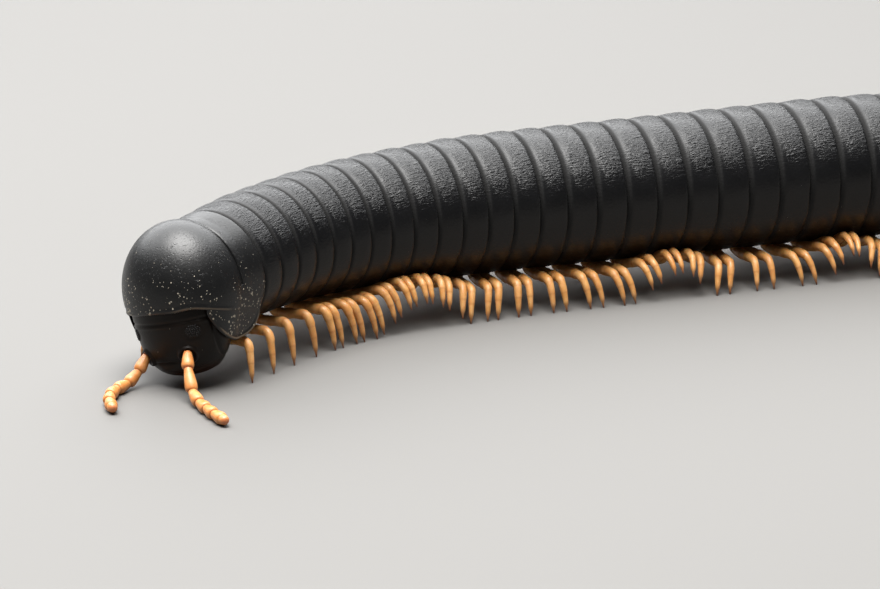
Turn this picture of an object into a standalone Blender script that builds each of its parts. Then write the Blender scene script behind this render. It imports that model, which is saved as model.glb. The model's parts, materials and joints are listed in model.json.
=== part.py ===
"""A giant millipede at life size: black ringed trunk, orange legs and antennae.

The animal walks with its head at -X and its tail at +X, bending toward -Y at the front.
Its left side faces -Y. Sizes are in millimetres until each mesh is handed to its object,
which is in metres. The origin is the middle of the whole model's footprint, on the floor.
"""
import math
from functools import partial

import bmesh
import bpy
import numpy as np
from mathutils import Matrix, Vector

MM = 0.001
GAP = 0.3            # clearance between neighbouring pieces
HALF_GAP = GAP / 2

# The centre line: distance along it is measured from the collum's hind edge, tailward positive
COLLUM_HIND_EDGE = (-54.42, -2.92)                   # plan place of distance zero
SPINE_FRONT, SPINE_END, SPINE_STEP = -8.0, 132.0, 0.25
HEADING = ((-6, 28.6), (3, 37.8), (10, 31.3), (20, 14.0), (35, 1.8), (55, 2.7), (80, -8.3), (130, -22))
CENTRE_HEIGHT = ((-6, 6.9), (0, 7.3), (3, 7.6), (7, 7.8), (20, 7.85), (88, 7.85), (108, 7.4), (118, 6.9), (130, 6.6))
BODY_RADIUS = ((0, 4.68), (9, 4.85), (28, 5.6), (62, 5.95), (92, 5.9), (108, 5.3), (118, 4.5), (130, 3.6))

# Rings: the collum is ring 1, and the telson follows the last one
RING_COUNT = 46
RING_LENGTH = ((1.5, 2.43), (5.5, 2.22), (13.5, 2.45), (26.5, 2.91), (38, 2.9), (46, 2.1))
RINGS_PER_LENGTH = 4
RING_SIDES = 20
RING_STEP = 0.25     # how far a ring's hind edge stands above the next ring's front
RING_CREST = 0.35    # share of a ring's length where its front slope ends
BELLY_FLAT = 0.93    # the underside is cut flat at this share of the radius

# Legs: one pair on rings 2 to 5, two pairs on the others, none on the last two rings
LAST_SINGLE_PAIR_RING = 5
LAST_LEGGED_RING = 44
PAIR_PLACES = {1: (0.5,), 2: (0.34, 0.70)}
LEG_ROOT_OUT, LEG_ROOT_DEPTH = 1.0, 0.75
HIP_OUT, HIP_BELOW_BELLY = 0.36, 0.30                # a share of the radius, and a depth
KNEE_OUT, KNEE_BELOW_BELLY = 0.97, 0.22
KNEE_LIFT = 0.5                                      # share of a tip's lift that its knee takes up
SHIN_OUT, SHIN_HEIGHT = 1.08, 0.54                   # shares of the radius and of the knee's height
TIP_OUT = 1.14
LEG_RADII = (0.42, 0.44, 0.40, 0.32, 0.25)
LEG_SIDES_RESOLUTION = 0                             # four sides
STEP_WAVE_CRESTS = (-20, -6, 21.5, 45.5, 61, 78, 94, 111, 129)   # where the legs lift in the walking wave
STEP_SWING = 1.3                                     # how far a tip moves fore and aft of its root
STEP_LIFT = 2.2                                      # how high the tips rise at a crest
STEP_LIFT_SHARE = 0.24                               # share of the wave in which legs are off the floor

# Head and collum, in the head's own axes: forward, left and up from the dome's centre
DOME_FORWARD, DOME_HEIGHT = 1.48, 6.9
HEAD_ROLL = 14.0                                     # degrees, left side up
COLLUM_SEMI_AXES = (4.55, 4.85, 5.35)
COLLUM_MARGIN_FRONT, COLLUM_MARGIN_SLOPE = -1.0, 0.22
HEAD_CENTRE_FORWARD = 0.9
HEAD_SEMI_AXES = (3.35, 3.95, 6.4)
HEAD_SQUARENESS = 3.0                                # exponent of the head's upright section
CHEEK_PLANE_AT, CHEEK_PLANE_ANGLE = (1.7, 3.6), 27.0
CHIN_PLANE_AT, CHIN_PLANE_ANGLE = (2.3, -5.75), 22.0
LOBE_CENTRE, LOBE_SEMI_AXES = (-0.8, 4.35, -2.5), (2.7, 0.30, 1.85)
LABRUM_CENTRE, LABRUM_SEMI_AXES = (3.05, 0.0, -5.45), (0.75, 1.5, 0.7)
EYE_PLACE = (2.75, -2.7)                             # side and up
EYE_SEMI_AXES = (0.34, 0.6, 0.42)                    # out from the head, along it and across it
SOCKET_PLACE = (1.95, -4.5)                          # side and up
SOCKET_RADIUS, SOCKET_RIM = 0.62, 0.22

# Antennae: article lengths from the root, with each article's turn outward and dip, in degrees
ARTICLE_LENGTHS = (0.85, 1.9, 1.6, 1.5, 1.4, 1.4, 0.6)
ARTICLE_THICK, ARTICLE_THIN = 0.46, 0.31
ANTENNA_REST = 0.40                                  # height of its middle where it lies on the floor
ANTENNA_TURN = {"left": (40, 52, 58, 60, 62, 66, 66), "right": (3, 5, -5, -20, -36, -48, -56)}
ANTENNA_DIP = {"left": (42, 48, 17, 0, 0, 0, 0), "right": (48, 52, 20, 0, 0, 0, 0)}

# Telson
TELSON_LENGTH = 2.3
TELSON_REAR_TILT = 14.0
PREANAL_PROFILE = ((0, 0.25), (0.3, 0.05), (0.7, 0.3), (1.1, 0.75), (1.4, 1.15))   # share of the length, fall
VALVE_SEMI_AXES = (3.1, 3.35, 3.5)
SCALE_PLANE = -2.45

SPHERE_SIDES, SPHERE_RINGS = 24, 14

COLOURS = {                                          # base colour, roughness
    "cuticle": ((0.012, 0.012, 0.014, 1), 0.33),
    "head_shell": ((0.018, 0.011, 0.009, 1), 0.28),
    "antenna": ((0.58, 0.20, 0.05, 1), 0.42),
    "eye": ((0.006, 0.006, 0.008, 1), 0.15),
}


def knots(table, place):
    """Straight-line value at a place along a short table of (place, value) knots."""
    places, values = zip(*table)
    return float(np.interp(place, places, values))


def clear_scene():
    """Remove the objects that the file opens with."""
    for thing in list(bpy.data.objects):
        bpy.data.objects.remove(thing, do_unlink=True)


def make_collection(name):
    """A new collection under the scene's own."""
    collection = bpy.data.collections.new(name)
    bpy.context.scene.collection.children.link(collection)
    return collection


def make_material(name):
    """A Principled finish with the colour and roughness named for it."""
    colour, roughness = COLOURS[name]
    material = bpy.data.materials.new(name)
    material.use_nodes = True
    shader = material.node_tree.nodes["Principled BSDF"]
    shader.inputs["Base Color"].default_value = colour
    shader.inputs["Roughness"].default_value = roughness
    material.diffuse_color = colour
    return material


def make_spine():
    """Sample the centre line in plan, with distance zero at the collum's hind edge."""
    along = np.arange(SPINE_FRONT, SPINE_END + SPINE_STEP, SPINE_STEP)
    turn = np.radians([knots(HEADING, s) for s in along])
    middle = (turn[1:] + turn[:-1]) / 2
    x = np.concatenate([[0], np.cumsum(np.cos(middle) * SPINE_STEP)])
    y = np.concatenate([[0], np.cumsum(np.sin(middle) * SPINE_STEP)])
    x += COLLUM_HIND_EDGE[0] - np.interp(0, along, x)
    y += COLLUM_HIND_EDGE[1] - np.interp(0, along, y)
    return along, x, y


SPINE = make_spine()


def centre(s):
    """The centre line's point at a distance along it."""
    along, x, y = SPINE
    return Vector((np.interp(s, along, x), np.interp(s, along, y), knots(CENTRE_HEIGHT, s)))


def axes(s):
    """Unit vectors tailward, to the animal's left and upward at a distance along the body."""
    tailward = (centre(s + 0.5) - centre(s - 0.5)).normalized()
    left = tailward.cross(Vector((0, 0, 1))).normalized()
    return tailward, left, left.cross(tailward)


def ring_edges():
    """Distance of each ring's hind edge from the collum's, by ring number."""
    edges = {1: 0.0}
    for ring in range(2, RING_COUNT + 1):
        edges[ring] = edges[ring - 1] + knots(RING_LENGTH, ring)
    return edges


EDGES = ring_edges()


def section(s, radius):
    """One loop of points round the body, its underside flattened."""
    _, left, up = axes(s)
    loop = []
    for side in range(RING_SIDES):
        angle = 2 * math.pi * side / RING_SIDES
        reach = radius
        if math.cos(angle) < 0:
            reach = min(radius, BELLY_FLAT * radius / -math.cos(angle))
        loop.append(centre(s) + left * (reach * math.sin(angle)) + up * (reach * math.cos(angle)))
    return loop


def loft(loops):
    """A closed mesh through loops of equal count, capped with fans at both ends."""
    bm = bmesh.new()
    rows = [[bm.verts.new(point) for point in loop] for loop in loops]
    for row, following in zip(rows, rows[1:]):
        for i in range(len(row)):
            j = (i + 1) % len(row)
            bm.faces.new((row[i], row[j], following[j], following[i]))
    bm.faces.new(rows[0])
    bm.faces.new(rows[-1])
    bmesh.ops.recalc_face_normals(bm, faces=bm.faces)
    return bm


def to_mesh(bm, name):
    """Hand a bmesh over to a new mesh, in triangles that face out."""
    bmesh.ops.triangulate(bm, faces=bm.faces)
    bmesh.ops.recalc_face_normals(bm, faces=bm.faces)
    mesh = bpy.data.meshes.new(name)
    bm.to_mesh(mesh)
    bm.free()
    return mesh


def trunk_loops(first, last):
    """Loops of the trunk from ring to ring, each ring rising to a hind edge above the next one's front."""
    loops = []
    for ring in range(first, last + 1):
        front, rear = EDGES[ring - 1], EDGES[ring]
        if ring == first:
            front += HALF_GAP
        if ring == last:
            rear -= HALF_GAP
        crest = front + (rear - front) * RING_CREST
        loops.append(section(front, knots(BODY_RADIUS, front) - RING_STEP))
        loops.append(section(crest, knots(BODY_RADIUS, crest) - 0.1 * RING_STEP))
        loops.append(section(rear, knots(BODY_RADIUS, rear)))
    return loops


def curve_mesh(points, radii, resolution, name):
    """A closed tube through points with its own radius at each, made from a curve."""
    curve = bpy.data.curves.new(name, "CURVE")
    curve.dimensions = "3D"
    curve.bevel_depth = 1.0
    curve.bevel_resolution = resolution
    curve.use_fill_caps = True
    spline = curve.splines.new("POLY")
    spline.points.add(len(points) - 1)
    for knot, point, radius in zip(spline.points, points, radii):
        knot.co = (*point, 1)
        knot.radius = radius
    guide = bpy.data.objects.new(name, curve)
    bpy.context.scene.collection.objects.link(guide)
    bpy.context.view_layer.update()
    depsgraph = bpy.context.evaluated_depsgraph_get()
    mesh = bpy.data.meshes.new_from_object(guide.evaluated_get(depsgraph))
    bpy.data.objects.remove(guide, do_unlink=True)
    bpy.data.curves.remove(curve)
    bm = bmesh.new()
    bm.from_mesh(mesh)
    bpy.data.meshes.remove(mesh)
    bmesh.ops.remove_doubles(bm, verts=bm.verts, dist=0.001)
    bmesh.ops.recalc_face_normals(bm, faces=bm.faces)
    return bm


def step_phase(s):
    """Place in the walking wave, in whole turns, zero where the legs are lifted highest."""
    return float(np.interp(s, STEP_WAVE_CRESTS, range(len(STEP_WAVE_CRESTS))))


def leg_points(s, side):
    """A leg's root, hip, knee, shin and tip; side is 1 on the left and -1 on the right."""
    phase = step_phase(s)
    from_crest = abs(phase - round(phase))
    swing = -STEP_SWING * math.sin(2 * math.pi * phase)
    lift = 0.0
    if from_crest < STEP_LIFT_SHARE:
        lift = STEP_LIFT * math.cos(math.pi / 2 * from_crest / STEP_LIFT_SHARE)
    tailward, left, _ = axes(s)
    tailward = Vector((tailward.x, tailward.y, 0)).normalized()
    radius = knots(BODY_RADIUS, s)
    middle = centre(s)
    belly = middle.z - BELLY_FLAT * radius
    knee_height = belly - KNEE_BELOW_BELLY + KNEE_LIFT * lift

    def spot(out, share, height):
        """A point at a lateral distance, a share of the swing and a height."""
        place = middle + left * (side * out) + tailward * (swing * share)
        return Vector((place.x, place.y, height))

    return (
        spot(LEG_ROOT_OUT, 0, belly + LEG_ROOT_DEPTH),
        spot(HIP_OUT * radius, 0.1, belly - HIP_BELOW_BELLY),
        spot(KNEE_OUT * radius, 0.6, knee_height),
        spot(SHIN_OUT * radius, 0.85, lift + (knee_height - lift) * SHIN_HEIGHT),
        spot(TIP_OUT * radius, 1, lift),
    )


def leg(s, side, name):
    """One leg as a tapered bent tube that ends in a small flat."""
    points = leg_points(s, side)
    bm = curve_mesh(points, LEG_RADII, LEG_SIDES_RESOLUTION, name)
    floor = points[-1].z
    for vert in bm.verts:
        if vert.co.z < floor + 0.4 * LEG_RADII[-1]:
            vert.co.z = floor
    return to_mesh(bm, name)


def ring_legs(ring):
    """Distances along the body at which a ring carries pairs of legs."""
    if ring > LAST_LEGGED_RING:
        return ()
    places = PAIR_PLACES[1 if ring <= LAST_SINGLE_PAIR_RING else 2]
    front, rear = EDGES[ring - 1], EDGES[ring]
    return tuple(front + (rear - front) * share for share in places)


def leg_meshes(first, last):
    """All the legs of a run of rings."""
    meshes = []
    for ring in range(first, last + 1):
        for s in ring_legs(ring):
            for side in (1, -1):
                meshes.append(leg(s, side, "leg"))
    return meshes


def largest_closed_surface(bm):
    """Drop every island of faces but the one with the most volume round it."""
    bm.faces.ensure_lookup_table()
    islands, seen = [], set()
    for start in bm.faces:
        if start in seen:
            continue
        island, queue = [], [start]
        seen.add(start)
        while queue:
            face = queue.pop()
            island.append(face)
            for edge in face.edges:
                for neighbour in edge.link_faces:
                    if neighbour not in seen:
                        seen.add(neighbour)
                        queue.append(neighbour)
        islands.append(island)

    def spread(island):
        """Diagonal of an island's box."""
        points = np.array([vert.co for face in island for vert in face.verts])
        return float(np.linalg.norm(points.max(axis=0) - points.min(axis=0)))

    islands.sort(key=spread, reverse=True)
    scraps = [face for island in islands[1:] for face in island]
    bmesh.ops.delete(bm, geom=scraps, context="FACES")


def combine(body_mesh, other_meshes, operation, name):
    """One Boolean of a mesh with a collection of closed meshes, applied."""
    tools = make_collection(name + "_pieces")
    for mesh in other_meshes:
        tools.objects.link(bpy.data.objects.new(mesh.name, mesh))
    body = bpy.data.objects.new(name + "_whole", body_mesh)
    bpy.context.scene.collection.objects.link(body)
    join = body.modifiers.new("combine", "BOOLEAN")
    join.operation = operation
    join.operand_type = "COLLECTION"
    join.collection = tools
    join.solver = "MANIFOLD"
    bpy.context.view_layer.update()
    depsgraph = bpy.context.evaluated_depsgraph_get()
    result = bpy.data.meshes.new_from_object(body.evaluated_get(depsgraph))
    for thing in [body, *tools.objects]:
        bpy.data.objects.remove(thing, do_unlink=True)
    bpy.data.collections.remove(tools)
    bm = bmesh.new()
    bm.from_mesh(result)
    largest_closed_surface(bm)
    return bm


unite = partial(combine, operation="UNION")
carve = partial(combine, operation="DIFFERENCE")


def trunk(first, last, name, extras=()):
    """A run of rings with the legs they carry and any extra forms, as one body."""
    body = to_mesh(loft(trunk_loops(first, last)), name)
    pieces = leg_meshes(first, last) + list(extras)
    if not pieces:
        bm = bmesh.new()
        bm.from_mesh(body)
        return bm
    return unite(body, pieces, name=name)


def head_frame():
    """Matrix from the head's own axes (forward, left, up) to the model's, at the dome's centre."""
    tailward, left, _ = axes(0)
    forward = Vector((-tailward.x, -tailward.y, 0)).normalized()
    up = Vector((0, 0, 1))
    left = up.cross(forward)
    roll = math.radians(HEAD_ROLL)
    rolled_left = left * math.cos(roll) + up * math.sin(roll)
    rolled_up = up * math.cos(roll) - left * math.sin(roll)
    place = centre(0) + forward * DOME_FORWARD
    place.z = DOME_HEIGHT
    frame = Matrix((forward, rolled_left, rolled_up)).transposed().to_4x4()
    frame.translation = place
    return frame


def ellipsoid(middle, semi_axes, sides=SPHERE_SIDES, rings=SPHERE_RINGS):
    """A closed ball with its own semi-axes about a middle."""
    bm = bmesh.new()
    bmesh.ops.create_uvsphere(bm, u_segments=sides, v_segments=rings, radius=1)
    for vert in bm.verts:
        vert.co = Vector(co * size for co, size in zip(vert.co, semi_axes)) + Vector(middle)
    return bm


def keep_side(bm, point, normal):
    """Cut a convex piece by a plane and keep the side the normal points to, capped."""
    whole = bm.verts[:] + bm.edges[:] + bm.faces[:]
    cut = bmesh.ops.bisect_plane(bm, geom=whole, plane_co=point, plane_no=normal, dist=1e-5, clear_inner=True)
    rim = [item for item in cut["geom_cut"] if isinstance(item, bmesh.types.BMEdge)]
    bmesh.ops.edgeloop_fill(bm, edges=rim)
    bmesh.ops.recalc_face_normals(bm, faces=bm.faces)
    return bm


def collum_underside(drop):
    """A point and an upward normal of the collum's lower margin, moved down by a drop."""
    slope = math.atan(COLLUM_MARGIN_SLOPE)
    normal = Vector((-math.sin(slope), 0, math.cos(slope)))
    return Vector((COLLUM_SEMI_AXES[0], 0, COLLUM_MARGIN_FRONT)) - normal * drop, normal


def neck_plane(frame, offset):
    """A point and a headward normal of the plane between ring 2 and the head, in the head's axes."""
    tailward, _, _ = axes(0)
    inverse = frame.inverted()
    return inverse @ centre(-offset), (inverse.to_3x3() @ -tailward).normalized()


def collum(frame):
    """The smooth dome over the head, cut by its front margin and its hind edge."""
    bm = ellipsoid((0, 0, 0), COLLUM_SEMI_AXES)
    keep_side(bm, *collum_underside(0))
    keep_side(bm, *neck_plane(frame, HALF_GAP))
    bm.transform(frame)
    return bm


def head_capsule():
    """The whole head before it is parted: round in plan, square-shouldered upright."""
    bm = bmesh.new()
    bmesh.ops.create_uvsphere(bm, u_segments=SPHERE_SIDES, v_segments=SPHERE_RINGS, radius=1)
    for vert in bm.verts:
        level = min(1.0, abs(vert.co.z))
        flat = math.hypot(vert.co.x, vert.co.y)
        width = (1 - level ** HEAD_SQUARENESS) ** (1 / HEAD_SQUARENESS)
        spread = width / flat if flat > 1e-4 else 0.0
        vert.co.x = HEAD_CENTRE_FORWARD + vert.co.x * spread * HEAD_SEMI_AXES[0]
        vert.co.y *= spread * HEAD_SEMI_AXES[1]
        vert.co.z *= HEAD_SEMI_AXES[2]
    return bm


def on_head(side, up):
    """The head's front surface point at a side and height, with its outward normal."""
    level = abs(up) / HEAD_SEMI_AXES[2]
    width = (1 - level ** HEAD_SQUARENESS) ** (1 / HEAD_SQUARENESS)
    deep, wide, tall = HEAD_SEMI_AXES
    forward = deep * math.sqrt(width ** 2 - (side / wide) ** 2)
    fall = width ** (2 - HEAD_SQUARENESS) * level ** (HEAD_SQUARENESS - 1) / tall
    normal = Vector((forward / deep ** 2, side / wide ** 2, math.copysign(fall, up)))
    return Vector((HEAD_CENTRE_FORWARD + forward, side, up)), normal.normalized()


def cheek_plane(side, offset):
    """A point and an outward normal of the cut between the head and one cheek."""
    angle = math.radians(CHEEK_PLANE_ANGLE)
    normal = Vector((-math.sin(angle), side * math.cos(angle), 0))
    forward, out = CHEEK_PLANE_AT
    return Vector((forward, side * out, 0)) + normal * offset, normal


def chin_plane(offset):
    """A point and a downward normal of the cut between the head and the chin plate."""
    angle = math.radians(CHIN_PLANE_ANGLE)
    normal = Vector((-math.sin(angle), 0, -math.cos(angle)))
    forward, up = CHIN_PLANE_AT
    return Vector((forward, 0, up)) + normal * offset, normal


def under_collum(bm, frame):
    """Trim a part of the head to the room below the collum and ahead of ring 2."""
    point, normal = collum_underside(GAP)
    keep_side(bm, point, -normal)
    keep_side(bm, *neck_plane(frame, HALF_GAP))
    return bm


def cheek(frame, side):
    """One mandible's cheek, the head's side piece."""
    bm = under_collum(head_capsule(), frame)
    keep_side(bm, *cheek_plane(side, HALF_GAP))
    bm.transform(frame)
    return bm


def chin(frame):
    """The gnathochilarium, the plate that closes the head from below."""
    bm = under_collum(head_capsule(), frame)
    for side in (1, -1):
        point, normal = cheek_plane(side, -HALF_GAP)
        keep_side(bm, point, -normal)
    keep_side(bm, *chin_plane(HALF_GAP))
    bm.transform(frame)
    return bm


def eye_ball(side, grow):
    """One field of ocelli as a low bulge on the head, grown by a clearance for its pocket."""
    point, normal = on_head(side * EYE_PLACE[0], EYE_PLACE[1])
    bm = ellipsoid((0, 0, 0), [size + grow for size in EYE_SEMI_AXES], sides=14, rings=8)
    turn = normal.to_track_quat("X", "Z").to_matrix().to_4x4()
    bm.transform(Matrix.Translation(point) @ turn)
    return bm


def socket_rim(side):
    """A short raised collar round an antenna's root, sunk well into the head."""
    point, normal = on_head(side * SOCKET_PLACE[0], SOCKET_PLACE[1])
    bm = bmesh.new()
    bmesh.ops.create_cone(
        bm, cap_ends=True, segments=10, radius1=SOCKET_RADIUS * 1.3, radius2=SOCKET_RADIUS, depth=2 * SOCKET_RIM + 0.8
    )
    turn = normal.to_track_quat("Z", "Y").to_matrix().to_4x4()
    bm.transform(Matrix.Translation(point - normal * 0.4) @ turn)
    return bm


def head(frame):
    """The head capsule between the cheeks, with its upper lip, socket rims and eye pockets."""
    bm = under_collum(head_capsule(), frame)
    for side in (1, -1):
        point, normal = cheek_plane(side, -HALF_GAP)
        keep_side(bm, point, -normal)
    point, normal = chin_plane(-HALF_GAP)
    keep_side(bm, point, -normal)
    lip = ellipsoid(LABRUM_CENTRE, LABRUM_SEMI_AXES, sides=14, rings=8)
    point, normal = chin_plane(-GAP)
    forms = [to_mesh(keep_side(lip, point, -normal), "labrum")]
    forms += [to_mesh(socket_rim(side), "socket_rim") for side in (1, -1)]
    bm = unite(to_mesh(bm, "head"), forms, name="head")
    pockets = [to_mesh(eye_ball(side, GAP), "eye_pocket") for side in (1, -1)]
    bm = carve(to_mesh(bm, "head"), pockets, name="head")
    bm.transform(frame)
    return bm


def eye(frame, side):
    """One field of ocelli."""
    bm = eye_ball(side, 0)
    bm.transform(frame)
    return bm


def antenna(frame, side, name):
    """One antenna of club-shaped articles, from just off its socket down to the floor."""
    point, normal = on_head(side * SOCKET_PLACE[0], SOCKET_PLACE[1])
    root = frame @ (point + normal * (SOCKET_RIM + GAP))
    forward = Vector((frame.col[0].x, frame.col[0].y, 0)).normalized()
    points, radii = [root], [ARTICLE_THICK * 0.85]
    for number, length in enumerate(ARTICLE_LENGTHS):
        turn = math.radians(side * ANTENNA_TURN[name][number])
        dip = math.radians(ANTENNA_DIP[name][number])
        direction = Matrix.Rotation(turn, 3, "Z") @ forward * math.cos(dip)
        direction.z = -math.sin(dip)
        last = number == len(ARTICLE_LENGTHS) - 1
        stations = ((0.12, ARTICLE_THIN), (0.75, ARTICLE_THICK), (1.0, ARTICLE_THICK * 0.8))
        if last:
            stations = ((0.15, ARTICLE_THIN), (0.6, ARTICLE_THICK * 0.8), (1.0, ARTICLE_THIN * 0.7))
        for share, radius in stations:
            place = root + direction * (length * share)
            place.z = max(place.z, ANTENNA_REST)
            points.append(place)
            radii.append(radius)
        root = points[-1]
    bm = curve_mesh(points, radii, 2, "antenna_" + name)
    for vert in bm.verts:
        vert.co.z = max(vert.co.z, 0.0)
    return bm


def ring_two(frame):
    """The first ring behind the collum, whose side lobes reach forward past the cheeks."""
    lobes = []
    for side in (1, -1):
        bm = ellipsoid((LOBE_CENTRE[0], side * LOBE_CENTRE[1], LOBE_CENTRE[2]), LOBE_SEMI_AXES, sides=16, rings=10)
        point, normal = collum_underside(GAP)
        keep_side(bm, point, -normal)
        bm.transform(frame)
        lobes.append(to_mesh(bm, "lobe"))
    return trunk(2, 2, "ring_02", lobes)


def telson_frame():
    """Matrix from the telson's axes (tailward, left, up) to the model's, at its front."""
    tailward, left, up = axes(EDGES[RING_COUNT])
    frame = Matrix((tailward, left, up)).transposed().to_4x4()
    frame.translation = centre(EDGES[RING_COUNT])
    return frame


def telson_rear(offset):
    """A point and a tailward normal of the preanal ring's slanted rear, moved by an offset."""
    tilt = math.radians(TELSON_REAR_TILT)
    normal = Vector((math.cos(tilt), 0, -math.sin(tilt)))
    return Vector((TELSON_LENGTH, 0, 0)) + normal * offset, normal


def preanal_ring(frame):
    """The last closed ring, longer above than below, in front of the valves."""
    start = EDGES[RING_COUNT]
    loops = []
    for share, fall in PREANAL_PROFILE:
        s = start + HALF_GAP + TELSON_LENGTH * share
        loops.append(section(s, knots(BODY_RADIUS, start) - fall))
    bm = loft(loops)
    bm.transform(frame.inverted())
    point, normal = telson_rear(0)
    keep_side(bm, point, -normal)
    bm.transform(frame)
    return bm


def valve_ball():
    """The ball that the valves and the scale below them are parted from."""
    bm = ellipsoid((TELSON_LENGTH - 0.4, 0, 0), VALVE_SEMI_AXES)
    return keep_side(bm, *telson_rear(GAP))


def scale_plane(offset):
    """A point and a downward normal of the cut above the scale."""
    normal = Vector((-0.25, 0, -1)).normalized()
    return Vector((TELSON_LENGTH + 1, 0, SCALE_PLANE)) + normal * offset, normal


def anal_valve(frame, side):
    """One of the two valves that close the tail's end."""
    bm = valve_ball()
    keep_side(bm, Vector((0, side * HALF_GAP, 0)), Vector((0, side, 0)))
    point, normal = scale_plane(-HALF_GAP)
    keep_side(bm, point, -normal)
    bm.transform(frame)
    return bm


def subanal_scale(frame):
    """The small scale below the valves."""
    bm = keep_side(valve_ball(), *scale_plane(HALF_GAP))
    bm.transform(frame)
    return bm


def publish(bm, name, material, collection):
    """Turn a finished piece into its named object, in metres."""
    mesh = to_mesh(bm, name)
    mesh.transform(Matrix.Scale(MM, 4))
    mesh.materials.clear()
    mesh.materials.append(material)
    mesh.shade_smooth()
    mesh.set_sharp_from_angle(angle=math.radians(35))
    collection.objects.link(bpy.data.objects.new(name, mesh))


def main():
    """Build every piece of the millipede."""
    clear_scene()
    collection = make_collection("millipede")
    finish = {name: make_material(name) for name in COLOURS}
    front, rear = head_frame(), telson_frame()
    add = partial(publish, collection=collection)
    add(collum(front), "collum", finish["cuticle"])
    add(head(front), "head", finish["head_shell"])
    add(chin(front), "gnathochilarium", finish["head_shell"])
    for name, side in (("left", 1), ("right", -1)):
        add(cheek(front, side), "mandible_" + name, finish["head_shell"])
        add(eye(front, side), "eye_" + name, finish["eye"])
        add(antenna(front, side, name), "antenna_" + name, finish["antenna"])
        add(anal_valve(rear, side), "anal_valve_" + name, finish["cuticle"])
    add(ring_two(front), "ring_02", finish["cuticle"])
    for number, first in enumerate(range(3, RING_COUNT + 1, RINGS_PER_LENGTH), start=1):
        name = f"trunk_{number:02d}"
        last = min(first + RINGS_PER_LENGTH - 1, RING_COUNT)
        add(trunk(first, last, name), name, finish["cuticle"])
    add(preanal_ring(rear), "preanal_ring", finish["cuticle"])
    add(subanal_scale(rear), "subanal_scale", finish["cuticle"])


main()
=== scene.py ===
"""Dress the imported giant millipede: black ringed cuticle, orange legs and antennae, in soft studio light.

Lengths are in millimetres until a mesh is handed to its object, which is in metres.
The head is at -X and lowered, the tail at +X, and the animal's left side faces -Y.
"""

import json
import logging
import math
from dataclasses import dataclass
from enum import Enum
from typing import Iterable, Sequence

import bmesh
import bpy
import numpy as np
from mathutils import Matrix, Vector

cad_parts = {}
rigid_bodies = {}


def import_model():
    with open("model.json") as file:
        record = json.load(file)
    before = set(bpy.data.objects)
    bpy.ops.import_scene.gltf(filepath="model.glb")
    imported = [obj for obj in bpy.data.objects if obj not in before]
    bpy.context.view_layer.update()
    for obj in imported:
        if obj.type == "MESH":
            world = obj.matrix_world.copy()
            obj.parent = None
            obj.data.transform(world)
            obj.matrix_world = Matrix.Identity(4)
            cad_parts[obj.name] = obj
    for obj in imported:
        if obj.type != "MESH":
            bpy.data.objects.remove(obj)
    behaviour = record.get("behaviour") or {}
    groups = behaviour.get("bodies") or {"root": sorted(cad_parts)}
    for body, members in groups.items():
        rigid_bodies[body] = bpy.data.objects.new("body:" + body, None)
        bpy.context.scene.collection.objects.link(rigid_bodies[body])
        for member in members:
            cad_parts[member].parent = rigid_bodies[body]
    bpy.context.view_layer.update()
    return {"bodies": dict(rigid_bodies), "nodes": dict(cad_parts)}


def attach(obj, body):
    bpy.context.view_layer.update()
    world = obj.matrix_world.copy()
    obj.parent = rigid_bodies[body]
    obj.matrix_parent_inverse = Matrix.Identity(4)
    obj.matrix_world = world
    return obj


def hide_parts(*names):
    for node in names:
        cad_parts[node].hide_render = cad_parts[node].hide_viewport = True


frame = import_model()

MM = 0.001
UP = np.array([0.0, 0.0, 1.0])
BODY = next(iter(frame["bodies"]))
PATTERN_MAP = "PatternMap"
PLACE_MAP = "PlaceMap"

log = logging.getLogger("millipede")

Knots = Sequence[tuple[float, float]]


class Side(Enum):
    """The animal's two sides, with the sign of their lateral axis."""

    LEFT = 1
    RIGHT = -1

    @property
    def word(self) -> str:
        """The side's name in piece and node names."""
        return self.name.lower()


class Slot(Enum):
    """The record's material slots."""

    CUTICLE = "cuticle"
    HEAD_SHELL = "head_shell"
    EYE = "eye"
    APPENDAGE = "appendage"


def along_knots(table: Knots, places: np.ndarray | float) -> np.ndarray:
    """Read a short table of (place, value) knots at one or many places.

    Args:
        table: The knots, in order of place.
        places: Where to read it.

    Returns:
        The straight-line values.
    """
    where, values = zip(*table)
    return np.interp(places, where, values)


def smooth(low: float, high: float, value: np.ndarray | float) -> np.ndarray:
    """Smooth step from 0 at low to 1 at high."""
    share = np.clip((np.asarray(value, dtype=float) - low) / (high - low), 0, 1)
    return share * share * (3 - 2 * share)


def bell(centre: float, half_width: float, value: np.ndarray | float) -> np.ndarray:
    """Smooth bump of height 1 at a centre, falling to 0 at its half width."""
    return 1 - smooth(0, half_width, np.abs(np.asarray(value, dtype=float) - centre))


def unit(vectors: np.ndarray) -> np.ndarray:
    """Scale vectors in the last axis to length one."""
    return vectors / np.linalg.norm(vectors, axis=-1, keepdims=True)


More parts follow.
